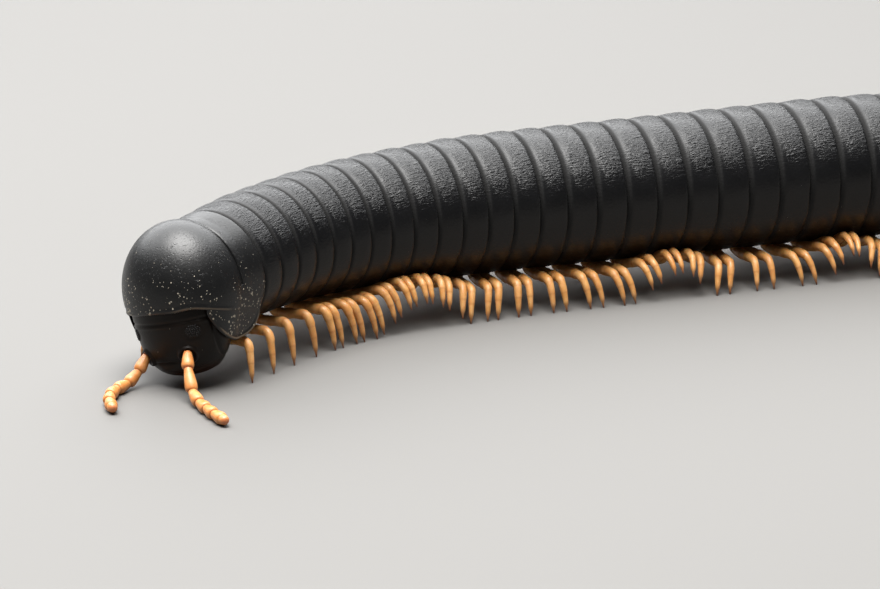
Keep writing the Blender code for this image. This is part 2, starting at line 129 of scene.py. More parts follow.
@dataclass
class MeshParts:
    """Points, faces and two maps of a piece while it is being put together."""

    points: list
    faces: list
    pattern: list
    place: list

    @classmethod
    def empty(cls) -> "MeshParts":
        """A set with nothing in it."""
        return cls([], [], [], [])

    def add_grid(
        self,
        grid: np.ndarray,
        pattern: np.ndarray,
        place: np.ndarray,
        closed: bool = True,
        start_cap: bool = False,
        end_cap: bool = False,
    ) -> None:
        """Add a surface of rows and columns of points.

        Args:
            grid: Points, rows by columns by 3.
            pattern: Pattern map values, rows by columns (plus one where closed) by 2.
            place: Place map values, in the same layout.
            closed: Whether the last column joins the first.
            start_cap: Whether the first row is filled with one face.
            end_cap: Whether the last row is filled with one face.
        """
        rows, columns, _ = grid.shape
        first = len(self.points)
        self.points.extend(grid.reshape(-1, 3))
        spans = columns if closed else columns - 1
        for i in range(rows - 1):
            for j in range(spans):
                k = (j + 1) % columns
                corners = ((i, j, j), (i, k, j + 1), (i + 1, k, j + 1), (i + 1, j, j))
                self.faces.append([first + r * columns + c for r, c, _ in corners])
                self.pattern.extend(pattern[r, m] for r, _, m in corners)
                self.place.extend(place[r, m] for r, _, m in corners)
        for row, wanted in ((0, start_cap), (rows - 1, end_cap)):
            if wanted:
                order = range(columns) if row else reversed(range(columns))
                corners = list(order)
                self.faces.append([first + row * columns + c for c in corners])
                self.pattern.extend(pattern[row, c] for c in corners)
                self.place.extend(place[row, c] for c in corners)

    def to_object(self, name: str) -> bpy.types.Object:
        """Make the piece's object, in metres, smooth shaded, facing out.

        Args:
            name: The piece's name.

        Returns:
            The linked object.
        """
        mesh = bpy.data.meshes.new(name)
        mesh.from_pydata((np.array(self.points) * MM).tolist(), [], self.faces)
        for label, values in ((PATTERN_MAP, self.pattern), (PLACE_MAP, self.place)):
            layer = mesh.uv_layers.new(name=label)
            layer.data.foreach_set("uv", np.array(values, dtype=np.float32).ravel())
        shape = bmesh.new()
        shape.from_mesh(mesh)
        bmesh.ops.recalc_face_normals(shape, faces=shape.faces)
        shape.to_mesh(mesh)
        shape.free()
        piece = bpy.data.objects.new(name, mesh)
        bpy.context.scene.collection.objects.link(piece)
        mesh.shade_smooth()
        return piece


def maps_for(rows: np.ndarray, columns: np.ndarray) -> np.ndarray:
    """Map values for a grid from one coordinate for its rows and one for its columns."""
    first, second = np.meshgrid(rows, columns, indexing="ij")
    return np.stack([first, second], axis=-1)


@dataclass(frozen=True)
class BodyLine:
    """The animal's centre line, thickness and ring edges, the same named sizes as in the solids."""

    hind_edge: tuple[float, float] = (-54.42, -2.92)
    front: float = -8.0
    end: float = 132.0
    step: float = 0.25
    heading: Knots = (
        (-6, 28.6), (3, 37.8), (10, 31.3), (20, 14.0), (35, 1.8), (55, 2.7), (80, -8.3), (130, -22)
    )
    height: Knots = (
        (-6, 6.9), (0, 7.3), (3, 7.6), (7, 7.8), (20, 7.85), (88, 7.85), (108, 7.4), (118, 6.9), (130, 6.6)
    )
    thickness: Knots = (
        (0, 4.68), (9, 4.85), (28, 5.6), (62, 5.95), (92, 5.9), (108, 5.3), (118, 4.5), (130, 3.6)
    )
    ring_count: int = 46
    ring_length: Knots = ((1.5, 2.43), (5.5, 2.22), (13.5, 2.45), (26.5, 2.91), (38, 2.9), (46, 2.1))
    belly_flat: float = 0.93

    def __post_init__(self) -> None:
        """Sample the line once."""
        along = np.arange(self.front, self.end + self.step, self.step)
        turn = np.radians(along_knots(self.heading, along))
        middle = (turn[1:] + turn[:-1]) / 2
        x = np.concatenate([[0], np.cumsum(np.cos(middle) * self.step)])
        y = np.concatenate([[0], np.cumsum(np.sin(middle) * self.step)])
        x += self.hind_edge[0] - np.interp(0, along, x)
        y += self.hind_edge[1] - np.interp(0, along, y)
        object.__setattr__(self, "_along", along)
        object.__setattr__(self, "_x", x)
        object.__setattr__(self, "_y", y)
        edges = [0.0]
        for ring in range(2, self.ring_count + 1):
            edges.append(edges[-1] + float(along_knots(self.ring_length, ring)))
        object.__setattr__(self, "edges", tuple(edges))

    def centre(self, s: np.ndarray | float) -> np.ndarray:
        """Points of the centre line at distances along it."""
        s = np.asarray(s, dtype=float)
        x, y = np.interp(s, self._along, self._x), np.interp(s, self._along, self._y)
        return np.stack([x, y, along_knots(self.height, s)], axis=-1)

    def axes(self, s: np.ndarray | float) -> tuple[np.ndarray, np.ndarray, np.ndarray]:
        """Unit vectors tailward, to the left and upward at distances along the body."""
        s = np.asarray(s, dtype=float)
        tailward = unit(self.centre(s + 0.5) - self.centre(s - 0.5))
        left = unit(np.cross(tailward, UP))
        return tailward, left, np.cross(left, tailward)

    def radius(self, s: np.ndarray | float) -> np.ndarray:
        """The body's radius at distances along it."""
        return along_knots(self.thickness, s)

    def ring_span(self, ring: int) -> tuple[float, float]:
        """Front and hind edge of a ring, by its number from the collum."""
        return self.edges[ring - 2], self.edges[ring - 1]

    def around(self, s: np.ndarray, radius: np.ndarray, angles: np.ndarray) -> np.ndarray:
        """Points round the body.

        Args:
            s: Distances along the body, one for each row, or rows by columns.
            radius: Radius for each row, or rows by columns.
            angles: Angles from the top, positive to the left, one for each column.

        Returns:
            Points, rows by columns by 3, with the underside flattened.
        """
        s = np.broadcast_to(np.asarray(s, dtype=float).reshape(len(s), -1), (len(s), len(angles)))
        radius = np.broadcast_to(np.asarray(radius, dtype=float).reshape(len(s), -1), s.shape)
        _, left, up = self.axes(s)
        down = np.maximum(-np.cos(angles), 1e-6)
        reach = np.minimum(radius, self.belly_flat * radius / down)
        sine, cosine = np.sin(angles)[None, :, None], np.cos(angles)[None, :, None]
        return self.centre(s) + reach[..., None] * (left * sine + up * cosine)


class Signal:
    """A shader socket that takes part in Python expressions."""

    def __init__(self, board: "NodeBoard", socket: bpy.types.NodeSocket) -> None:
        """Wrap one output socket of a board's nodes."""
        self.board = board
        self.socket = socket

    def _math(self, operation: str, *values: "Signal | float") -> "Signal":
        """One Math node on this and other values."""
        return self.board.node("ShaderNodeMath", {"operation": operation}, dict(enumerate(values)))

    def __add__(self, other: "Signal | float") -> "Signal":
        """Sum."""
        return self._math("ADD", self, other)

    def __radd__(self, other: float) -> "Signal":
        """Reflected sum."""
        return self._math("ADD", other, self)

    def __sub__(self, other: "Signal | float") -> "Signal":
        """Difference."""
        return self._math("SUBTRACT", self, other)

    def __rsub__(self, other: float) -> "Signal":
        """Reflected difference."""
        return self._math("SUBTRACT", other, self)

    def __mul__(self, other: "Signal | float") -> "Signal":
        """Product."""
        return self._math("MULTIPLY", self, other)

    def __rmul__(self, other: float) -> "Signal":
        """Reflected product."""
        return self._math("MULTIPLY", other, self)

    def step(self, low: float, high: float) -> "Signal":
        """Smooth step from 0 at low to 1 at high."""
        settings = {"interpolation_type": "SMOOTHSTEP", "clamp": True}
        if low > high:
            return 1 - self.step(high, low)
        inputs = {"Value": self, "From Min": low, "From Max": high}
        return self.board.node("ShaderNodeMapRange", settings, inputs)

    def ridge(self) -> "Signal":
        """Twice the distance from one half, which turns plain noise into a net of creases."""
        return self._math("ABSOLUTE", self - 0.5) * 2

    def part(self, axis: int) -> "Signal":
        """One component of a vector."""
        return self.board.node("ShaderNodeSeparateXYZ", {}, {0: self}, axis)


class NodeBoard:
    """A material's node tree, with one method that adds any node."""

    def __init__(self, name: str) -> None:
        """Start a material with only its output and a Principled shader."""
        self.material = bpy.data.materials.new(name)
        self.material.use_nodes = True
        self.tree = self.material.node_tree
        self.shader = self.tree.nodes["Principled BSDF"]

    def node(self, kind: str, settings: dict, inputs: dict, output: int | str = 0) -> Signal:
        """Add a node.

        Args:
            kind: The node's type name.
            settings: Properties that are set first; "stops" sets a colour ramp.
            inputs: Values or signals by socket name or number.
            output: Which output to return.

        Returns:
            The chosen output.
        """
        node = self.tree.nodes.new(kind)
        for key, value in settings.items():
            if key == "stops":
                self._set_stops(node, value)
            else:
                setattr(node, key, value)
        for key, value in inputs.items():
            self.feed(node.inputs[key], value)
        return Signal(self, node.outputs[output])

    @staticmethod
    def _set_stops(node: bpy.types.Node, stops: Sequence[tuple]) -> None:
        """Give a colour ramp its (place, colour) stops."""
        ramp = node.color_ramp
        while len(ramp.elements) < len(stops):
            ramp.elements.new(1.0)
        for element, (place, colour) in zip(ramp.elements, stops):
            element.position = place
            element.color = (*colour, 1)

    def feed(self, socket: bpy.types.NodeSocket, value: "Signal | float | tuple") -> None:
        """Link a signal to a socket, or set its value."""
        if isinstance(value, Signal):
            self.tree.links.new(value.socket, socket)
        else:
            socket.default_value = value

    def map(self, name: str) -> Signal:
        """The vector of one of the piece's maps."""
        return self.node("ShaderNodeUVMap", {"uv_map": name}, {})

    def model_place(self) -> Signal:
        """The point on the piece in millimetres."""
        place = self.node("ShaderNodeTexCoord", {}, {}, "Object")
        return self.stretch(place, (1 / MM, 1 / MM, 1 / MM))

    def stretch(self, vector: Signal, scale: tuple[float, float, float]) -> Signal:
        """A vector scaled by axis."""
        return self.node("ShaderNodeVectorMath", {"operation": "MULTIPLY"}, {0: vector, 1: scale})

    def shift(self, vector: Signal, other: Signal) -> Signal:
        """Two vectors added."""
        return self.node("ShaderNodeVectorMath", {"operation": "ADD"}, {0: vector, 1: other})

    def noise(self, vector: Signal, scale: float, detail: float = 3.0, rough: float = 0.5) -> Signal:
        """Plain noise between 0 and 1."""
        inputs = {"Vector": vector, "Scale": scale, "Detail": detail, "Roughness": rough}
        return self.node("ShaderNodeTexNoise", {}, inputs, 0)

    def cells(self, vector: Signal, scale: float, feature: str = "F1") -> Signal:
        """Distance to the nearest scattered point, in cells."""
        return self.node("ShaderNodeTexVoronoi", {"feature": feature}, {"Vector": vector, "Scale": scale})

    def blend(self, share: "Signal | float", first: "Signal | tuple", second: "Signal | tuple") -> Signal:
        """Two colours mixed."""
        settings = {"data_type": "RGBA"}
        return self.node("ShaderNodeMix", settings, {0: share, 6: first, 7: second}, 2)

    def bump(self, height: Signal, distance_mm: float) -> Signal:
        """A normal from a height that runs over a distance given in millimetres."""
        inputs = {"Height": height, "Distance": distance_mm * MM, "Strength": 1.0}
        return self.node("ShaderNodeBump", {}, inputs)

    def finish(self, **sockets: "Signal | float | tuple") -> bpy.types.Material:
        """Feed the shader's sockets, named with underscores for spaces, and return the material."""
        for name, value in sockets.items():
            self.feed(self.shader.inputs[name.replace("_", " ")], value)
        return self.material


def rgba(colour: Sequence[float]) -> tuple[float, float, float, float]:
    """A colour with full alpha."""
    return (*colour, 1.0)


@dataclass(frozen=True)
class Dust:
    """Pale specks of soil that cling to the shell."""

    colour: tuple[float, float, float] = (0.42, 0.37, 0.29)
    spacing: float = 0.42
    size: float = 0.17
    patch_size: float = 2.2

    def mask(self, board: NodeBoard, place: Signal, amount: "Signal | float") -> Signal:
        """Where specks lie.

        Args:
            board: The material's nodes.
            place: The point in millimetres.
            amount: How thickly they lie, from 0 to 1.

        Returns:
            A mask between 0 and 1.
        """
        wander = board.noise(place, 3.0, 2)
        specks = board.cells(place, 1 / self.spacing)
        patches = board.noise(place, 1 / self.patch_size, 3, 0.6).step(0.34, 0.57)
        limit = self.size * (wander * 2.2 - 0.55) * patches * amount
        return (limit - specks).step(0.0, 0.05)


@dataclass(frozen=True)
class CuticleFinish:
    """Satin black of the trunk rings, wrinkled along the body; the low sides are browner as a painted
    reflection of warm ground, and the grooves darker as painted shade.
    """

    black: tuple[float, float, float] = (0.0040, 0.0040, 0.0044)
    # brown: painted reflection of warm ground, laid on the low sides of the rings
    brown: tuple[float, float, float] = (0.0150, 0.0085, 0.0042)
    # Painted shade colour for the grooves where the rings overlap
    seam_shade: tuple[float, float, float] = (0.0015, 0.0013, 0.0012)
    blotch: tuple[float, float, float] = (0.010, 0.010, 0.0105)
    roughness: float = 0.235
    groove_roughness: float = 0.45
    wrinkle_depth: float = 0.17
    dust: Dust = Dust()

    def make(self) -> bpy.types.Material:
        """Build the material."""
        board = NodeBoard("trunk_cuticle")
        pattern, place = board.map(PATTERN_MAP), board.map(PLACE_MAP)
        phase, level, low = place.part(0), place.part(1), place.part(1).step(0.42, 0.80)
        model = board.model_place()
        wander = board.stretch(board.noise(pattern, 1.3, 3), (0.45, 0.16, 0.0))
        bent = board.shift(pattern, wander)
        long_wrinkles = board.noise(board.stretch(bent, (0.80, 2.7, 1.0)), 1.0, 3, 0.6).ridge()
        fine_wrinkles = board.noise(board.stretch(bent, (1.7, 5.2, 1.0)), 1.0, 3, 0.6).ridge()
        pits = board.cells(board.stretch(pattern, (4.2, 5.0, 1.0)), 1.0)
        band = phase.step(0.22, 0.38) * (1 - phase.step(0.93, 1.0)) * 0.75 + 0.25
        smooth_flank = 1 - level.step(0.24, 0.50) * 0.9
        height = (long_wrinkles * 0.6 + fine_wrinkles * 0.4) * band * smooth_flank - pits * 0.05
        dusty = self.dust.mask(board, model, 0.45 + low * 0.25)
        blotch = board.noise(model, 0.35, 4, 0.6)
        # Painted reflection: the low sides are tinted brown to stand in for warm ground reflected in them
        colour = board.blend(low, rgba(self.black), rgba(self.brown))
        colour = board.blend(blotch.step(0.35, 0.75) * (0.35 - low * 0.2), colour, rgba(self.blotch))
        near_seam = (1 - phase.step(0.06, 0.26)).step(0.0, 1.0) + phase.step(0.94, 1.0) * 0.6
        # Painted shade: the front of each ring and its hind edge are darkened where one ring overlaps the
        # next
        colour = board.blend(near_seam * 0.9, colour, rgba(self.seam_shade))
        colour = board.blend(dusty * 0.8, colour, rgba(self.dust.colour))
        rough = self.roughness + blotch * 0.08 + level * 0.06 + dusty * 0.3
        rough = rough + near_seam * (self.groove_roughness - low * 0.40) + (1 - band) * 0.06
        normal = board.bump(height + dusty * 0.5, self.wrinkle_depth)
        return board.finish(Base_Color=colour, Roughness=rough, Normal=normal, Specular_IOR_Level=0.27)


@dataclass(frozen=True)
class CollumFinish:
    """Smooth satin black of the collum and ring 2, with fine scratches and pale specks."""

    name: str
    black: tuple[float, float, float] = (0.0040, 0.0040, 0.0042)
    rim: tuple[float, float, float] = (0.16, 0.12, 0.08)
    roughness: float = 0.34
    dust_amount: float = 1.0
    dust: Dust = Dust(spacing=0.25, size=0.50, patch_size=2.4)

    def make(self) -> bpy.types.Material:
        """Build the material."""
        board = NodeBoard(self.name)
        place, rim = board.model_place(), board.map(PLACE_MAP).part(0)
        height_mm = place.part(2)
        lower = 1 - height_mm.step(5.0, 11.5)
        grain = board.noise(place, 5.5, 4, 0.65) * 0.6 + board.noise(place, 2.4, 3, 0.6).ridge() * 0.5
        scratch_place = board.stretch(place, (0.9, 6.0, 1.6))
        scratches = board.noise(scratch_place, 1.6, 4, 0.7).step(0.60, 0.72)
        pits = board.cells(place, 3.4).step(0.0, 0.22)
        dusty = self.dust.mask(board, place, (0.25 + lower * 0.85) * self.dust_amount)
        blotch = board.noise(place, 0.45, 4, 0.6)
        colour = board.blend(blotch.step(0.4, 0.8) * 0.4, rgba(self.black), rgba((0.010, 0.0098, 0.010)))
        colour = board.blend(rim.step(0.2, 1.0) * 0.75, colour, rgba(self.rim))
        colour = board.blend(dusty * 0.85, colour, rgba(self.dust.colour))
        rough = self.roughness + grain * 0.12 + scratches * 0.08 + dusty * 0.3
        height = grain * 0.35 + pits * 0.35 - scratches * 0.25 + dusty * 0.8
        normal = board.bump(height, 0.05)
        return board.finish(Base_Color=colour, Roughness=rough, Normal=normal, Specular_IOR_Level=0.40)


@dataclass(frozen=True)
class HeadFinish:
    """Smooth brown-black of the head shell, redder toward the mouth."""

    dark: tuple[float, float, float] = (0.0060, 0.0040, 0.0028)
    mouth: tuple[float, float, float] = (0.030, 0.011, 0.005)
    roughness: float = 0.34
    dust: Dust = Dust(spacing=0.55, size=0.13)

    def make(self) -> bpy.types.Material:
        """Build the material."""
        board = NodeBoard("head_shell")
        place = board.model_place()
        down = board.map(PLACE_MAP).part(1)
        grain = board.noise(place, 6.0, 3, 0.6)
        blotch = board.noise(place, 0.7, 3)
        pores = board.cells(place, 3.0).step(0.0, 0.16)
        dusty = self.dust.mask(board, place, 0.7)
        mouthward = down.step(0.80, 1.0) * 0.9 + blotch.step(0.5, 0.8) * 0.08
        colour = board.blend(mouthward, rgba(self.dark), rgba(self.mouth))
        colour = board.blend(dusty * 0.7, colour, rgba(self.dust.colour))
        rough = self.roughness + grain * 0.10 + dusty * 0.3
        normal = board.bump(grain * 0.3 + pores * 0.4 + dusty * 0.6, 0.03)
        return board.finish(Base_Color=colour, Roughness=rough, Normal=normal, Specular_IOR_Level=0.17)


@dataclass(frozen=True)
class LimbFinish:
    """Waxy orange of legs and antennae: paler in random mottles, darker at the joints, red-brown at the
    tips.
    """

    name: str
    main: tuple[float, float, float]
    pale: tuple[float, float, float]
    joint: tuple[float, float, float]
    tip: tuple[float, float, float]
    tip_start: float
    roughness: float = 0.36

    def make(self) -> bpy.types.Material:
        """Build the material."""
        board = NodeBoard(self.name)
        pattern, marks = board.map(PATTERN_MAP), board.map(PLACE_MAP)
        along, own = pattern.part(0), pattern.part(1)
        joint = marks.part(0)
        place = board.model_place()
        mottle = board.noise(place, 1.6, 4, 0.6)
        grain = board.noise(place, 9.0, 3, 0.6)
        colour = board.blend(mottle.step(0.35, 0.70), rgba(self.main), rgba(self.pale))
        colour = board.blend(own * 0.35, colour, rgba(self.joint))
        colour = board.blend(joint.step(0.25, 1.0) * 0.75, colour, rgba(self.joint))
        colour = board.blend(along.step(self.tip_start, 1.0) * 0.95, colour, rgba(self.tip))
        rough = self.roughness + grain * 0.12
        normal = board.bump(grain * 0.6 + mottle * 0.4, 0.03)
        return board.finish(
            Base_Color=colour,
            Roughness=rough,
            Normal=normal,
            Subsurface_Weight=0.25,
            Subsurface_Radius=(1.0, 0.45, 0.2),
            Subsurface_Scale=0.0006,
            Coat_Weight=0.05,
        )


@dataclass(frozen=True)
class EyeFinish:
    """Glossy black of the ocelli."""

    colour: tuple[float, float, float] = (0.004, 0.0035, 0.0035)

    def make(self) -> bpy.types.Material:
        """Build the material."""
        board = NodeBoard("ocelli")
        haze = board.noise(board.model_place(), 4.0, 2)
        colour = board.blend(haze.step(0.4, 0.8) * 0.5, rgba(self.colour), rgba((0.009, 0.007, 0.005)))
        return board.finish(Base_Color=colour, Roughness=0.45 + haze * 0.1, Specular_IOR_Level=0.3)


@dataclass(frozen=True)
class FloorFinish:
    """Plain pale studio paper."""

    colour: tuple[float, float, float] = (0.112, 0.109, 0.104)

    def make(self) -> bpy.types.Material:
        """Build the material."""
        board = NodeBoard("studio_paper")
        haze = board.noise(board.model_place(), 0.02, 2)
        colour = board.blend(haze * 0.25, rgba(self.colour), rgba((0.104, 0.101, 0.096)))
        return board.finish(Base_Color=colour, Roughness=0.75)


def publish(
    piece: bpy.types.Object, finish: bpy.types.Material, nodes: Iterable[str]
) -> bpy.types.Object:
    """Give a piece its finish and body, and hide the nodes it stands for.

    Args:
        piece: The finished object.
        finish: Its material.
        nodes: CAD nodes that it replaces.

    Returns:
        The piece.
    """
    piece.data.materials.clear()
    piece.data.materials.append(finish)
    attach(piece, BODY)
    for node in nodes:
        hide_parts(node)
    log.info("%s: %d faces", piece.name, len(piece.data.polygons))
    return piece


@dataclass
class Trunk:
    """The ringed trunk from ring 3 to the last ring, as one skin with every ring's edge and groove."""

    line: BodyLine
    first_ring: int = 3
    sides: int = 128
    # Place along a ring, drop below the hind edge's radius
    profile: Knots = (
        (0.0, 0.40), (0.035, 0.31), (0.08, 0.20), (0.15, 0.13), (0.26, 0.095), (0.34, 0.075), (0.41, 0.045),
        (0.50, 0.02), (0.64, -0.01), (0.80, -0.02), (0.90, 0.0), (0.955, 0.03), (0.985, 0.09), (1.0, 0.20)
    )
    waver: float = 0.028
    low_calm: float = 0.55

    def nodes(self) -> list[str]:
        """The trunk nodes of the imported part."""
        return sorted(name for name in frame["nodes"] if name.startswith("trunk_"))

    def build(self) -> bpy.types.Object:
        """Loft every ring's profile round the body."""
        line, random = self.line, np.random.default_rng(11)
        angles = np.linspace(0, 2 * math.pi, self.sides + 1) - math.pi
        s_rows, drops, phases, edge_gain = [], [], [], []
        for ring in range(self.first_ring, line.ring_count + 1):
            front, rear = line.ring_span(ring)
            swell = random.normal(0, 0.012)
            for share, drop in self.profile:
                s_rows.append(front + (rear - front) * share)
                drops.append(drop - swell * bell(0.65, 0.6, share))
                phases.append(share)
                edge_gain.append(bell(1.0, 0.5, share))
        s_rows, drops = np.array(s_rows), np.array(drops)
        phase_sum = sum(
            random.uniform(0.4, 1.0)
            * np.sin(k * angles[None, :] + s_rows[:, None] * w + random.uniform(0, 6))
            for k, w in ((3, 1.9), (5, 2.7), (9, 3.9), (14, 5.1))
        )
        ripple = self.waver / 2 * phase_sum * np.array(edge_gain)[:, None]
        low_flank = smooth(0.42, 0.66, np.abs(angles) / math.pi)
        flatter = 1 - self.low_calm * low_flank[None, :]
        radius = line.radius(s_rows)[:, None] - drops[:, None] * flatter - 0.5 * np.abs(ripple)
        s_grid = s_rows[:, None] + ripple * 1.2
        grid = line.around(s_grid[:, :-1], radius[:, :-1], angles[:-1])
        round_mm = angles * 5.6
        parts = MeshParts.empty()
        pattern = maps_for(s_rows, round_mm)
        place = maps_for(np.array(phases), np.abs(angles) / math.pi)
        parts.add_grid(grid[:, ::-1], pattern[:, ::-1], place[:, ::-1], start_cap=True, end_cap=True)
        return parts.to_object("trunk_rings")


@dataclass
class HeadAxes:
    """The head's own axes (forward, left, up), rolled with its left side up, about the dome's centre."""

    line: BodyLine
    dome_forward: float = 1.48
    dome_height: float = 6.9
    roll: float = 14.0

    def matrix(self) -> np.ndarray:
        """Rows are the forward, left and up axes."""
        tailward = self.line.axes(0.0)[0]
        forward = unit(np.array([-tailward[0], -tailward[1], 0.0]))
        left = np.cross(UP, forward)
        roll = math.radians(self.roll)
        rolled_left = left * math.cos(roll) + UP * math.sin(roll)
        rolled_up = UP * math.cos(roll) - left * math.sin(roll)
        return np.stack([forward, rolled_left, rolled_up])

    def origin(self) -> np.ndarray:
        """The dome's centre."""
        place = self.line.centre(0.0) + self.matrix()[0] * self.dome_forward
        place[2] = self.dome_height
        return place

    def to_model(self, points: np.ndarray) -> np.ndarray:
        """Carry points from the head's axes to the model's."""
        return self.origin() + points @ self.matrix()

    def from_model(self, point: np.ndarray) -> np.ndarray:
        """Carry a point from the model's axes to the head's."""
        return self.matrix() @ (point - self.origin())

    def neck(self) -> tuple[np.ndarray, np.ndarray]:
        """A point and a headward normal of the joint between collum and ring 2."""
        tailward = self.line.axes(0.0)[0]
        return self.from_model(self.line.centre(0.0)), self.matrix() @ -tailward


@dataclass
class Collum:
    """The smooth dome over the head, with a rolled front rim and rounded side corners."""

    axes: HeadAxes
    semi: tuple[float, float, float] = (4.55, 4.85, 5.35)
    margin_front: float = -1.0
    margin_slope: float = 0.22
    margin_wave: float = 0.22
    rim_width: float = 0.30
    rim_rise: float = 0.05
    thickness: float = 0.34
    corner: float = 0.45
    columns: int = 192
    rows: int = 64

    def half_width(self, forward: np.ndarray, up: np.ndarray) -> np.ndarray:
        """How far out the dome's side lies at a place along and up the head."""
        deep, wide, tall = self.semi
        return wide * np.sqrt(np.clip(1 - (forward / deep) ** 2 - (up / tall) ** 2, 0.01, None))

    def margin_height(self, forward: np.ndarray) -> np.ndarray:
        """The height of the lower margin at a place along the head."""
        return self.margin_front - (self.semi[0] - forward) * self.margin_slope

    def surface(self, fall: np.ndarray, around: np.ndarray) -> np.ndarray:
        """Points of the dome at an angle from its top and an angle round it."""
        deep, wide, tall = self.semi
        breadth = np.sin(fall)
        return np.stack(
            [deep * breadth * np.cos(around), wide * breadth * np.sin(around), tall * np.cos(fall)], axis=-1
        )

    def inside(self, points: np.ndarray) -> np.ndarray:
        """How far points lie inside the collum's margins; the smaller of front and hind."""
        forward, side, up = points[..., 0], points[..., 1], points[..., 2]
        wave = self.margin_wave * bell(3.3, 1.6, np.abs(side)) * smooth(-0.5, 1.5, forward)
        lower = up - self.margin_height(forward) - wave
        lower = lower * math.cos(math.atan(self.margin_slope))
        point, normal = self.axes.neck()
        hind = (points - point) @ normal + 0.06
        corner = self.corner
        gap = np.clip(corner - np.abs(lower - hind), 0, None)
        return np.minimum(lower, hind) - gap * gap / (4 * corner)

    def fall_limit(self, around: np.ndarray) -> np.ndarray:
        """Angle from the top at which the dome meets its margin, for each direction."""
        low, high = np.full_like(around, 0.05), np.full_like(around, 2.6)
        for _ in range(40):
            middle = (low + high) / 2
            out = self.inside(self.surface(middle, around)) < 0
            high = np.where(out, middle, high)
            low = np.where(out, low, middle)
        return (low + high) / 2

    def build(self) -> bpy.types.Object:
        """Make the dome, its rim and the turned-in edge under it."""
        around = np.linspace(0, 2 * math.pi, self.columns + 1)[:-1]
        limit = self.fall_limit(around)
        share = np.linspace(0.002, 1, self.rows) ** 0.85
        fall = share[:, None] * limit[None, :]
        points = self.surface(fall, np.broadcast_to(around, fall.shape))
        margin = points[-1]
        outward = unit(points * [1 / self.semi[0] ** 2, 1 / self.semi[1] ** 2, 1 / self.semi[2] ** 2])
        to_edge = np.linalg.norm(points - margin[None], axis=-1)
        front_part = smooth(-0.4, 0.9, margin[:, 0])[None, :]
        rim = bell(0.12, self.rim_width, to_edge) * front_part
        groove = bell(self.rim_width + 0.16, 0.16, to_edge) * front_part
        rise = (rim - 0.6 * groove) * self.rim_rise - 0.04 * bell(0, 0.14, to_edge)
        points = points + outward * rise[..., None]
        inner = []
        edge_out = outward[-1]
        down = unit(margin - points[-4])
        rolled_rim = (
            (0.10, 0.045),
            (0.24, 0.03),
            (self.thickness, -0.12),
            (self.thickness + 0.1, -0.9),
        )
        for inset, back in rolled_rim:
            inner.append(points[-1] - edge_out * inset + down * back)
        grid = np.concatenate([points, np.stack(inner)])
        sideways = smooth(0.8, 2.8, np.abs(margin[:, 1]))[None, :]
        rim_mark = bell(0.10, self.rim_width * 0.6, to_edge) * front_part * (0.15 + 0.75 * sideways)
        rim_mark = np.concatenate([rim_mark, np.zeros((4, self.columns))])
        rim_mark = np.concatenate([rim_mark, rim_mark[:, :1]], axis=1)
        place = np.stack([rim_mark, np.zeros_like(rim_mark)], axis=-1)
        model = self.axes.to_model(grid)
        parts = MeshParts.empty()
        pattern = maps_for(np.arange(len(grid)) * 0.1, np.arange(self.columns + 1) * 0.1)
        parts.add_grid(model[::-1], pattern[::-1], place[::-1], end_cap=True)
        return parts.to_object("collum_shield")


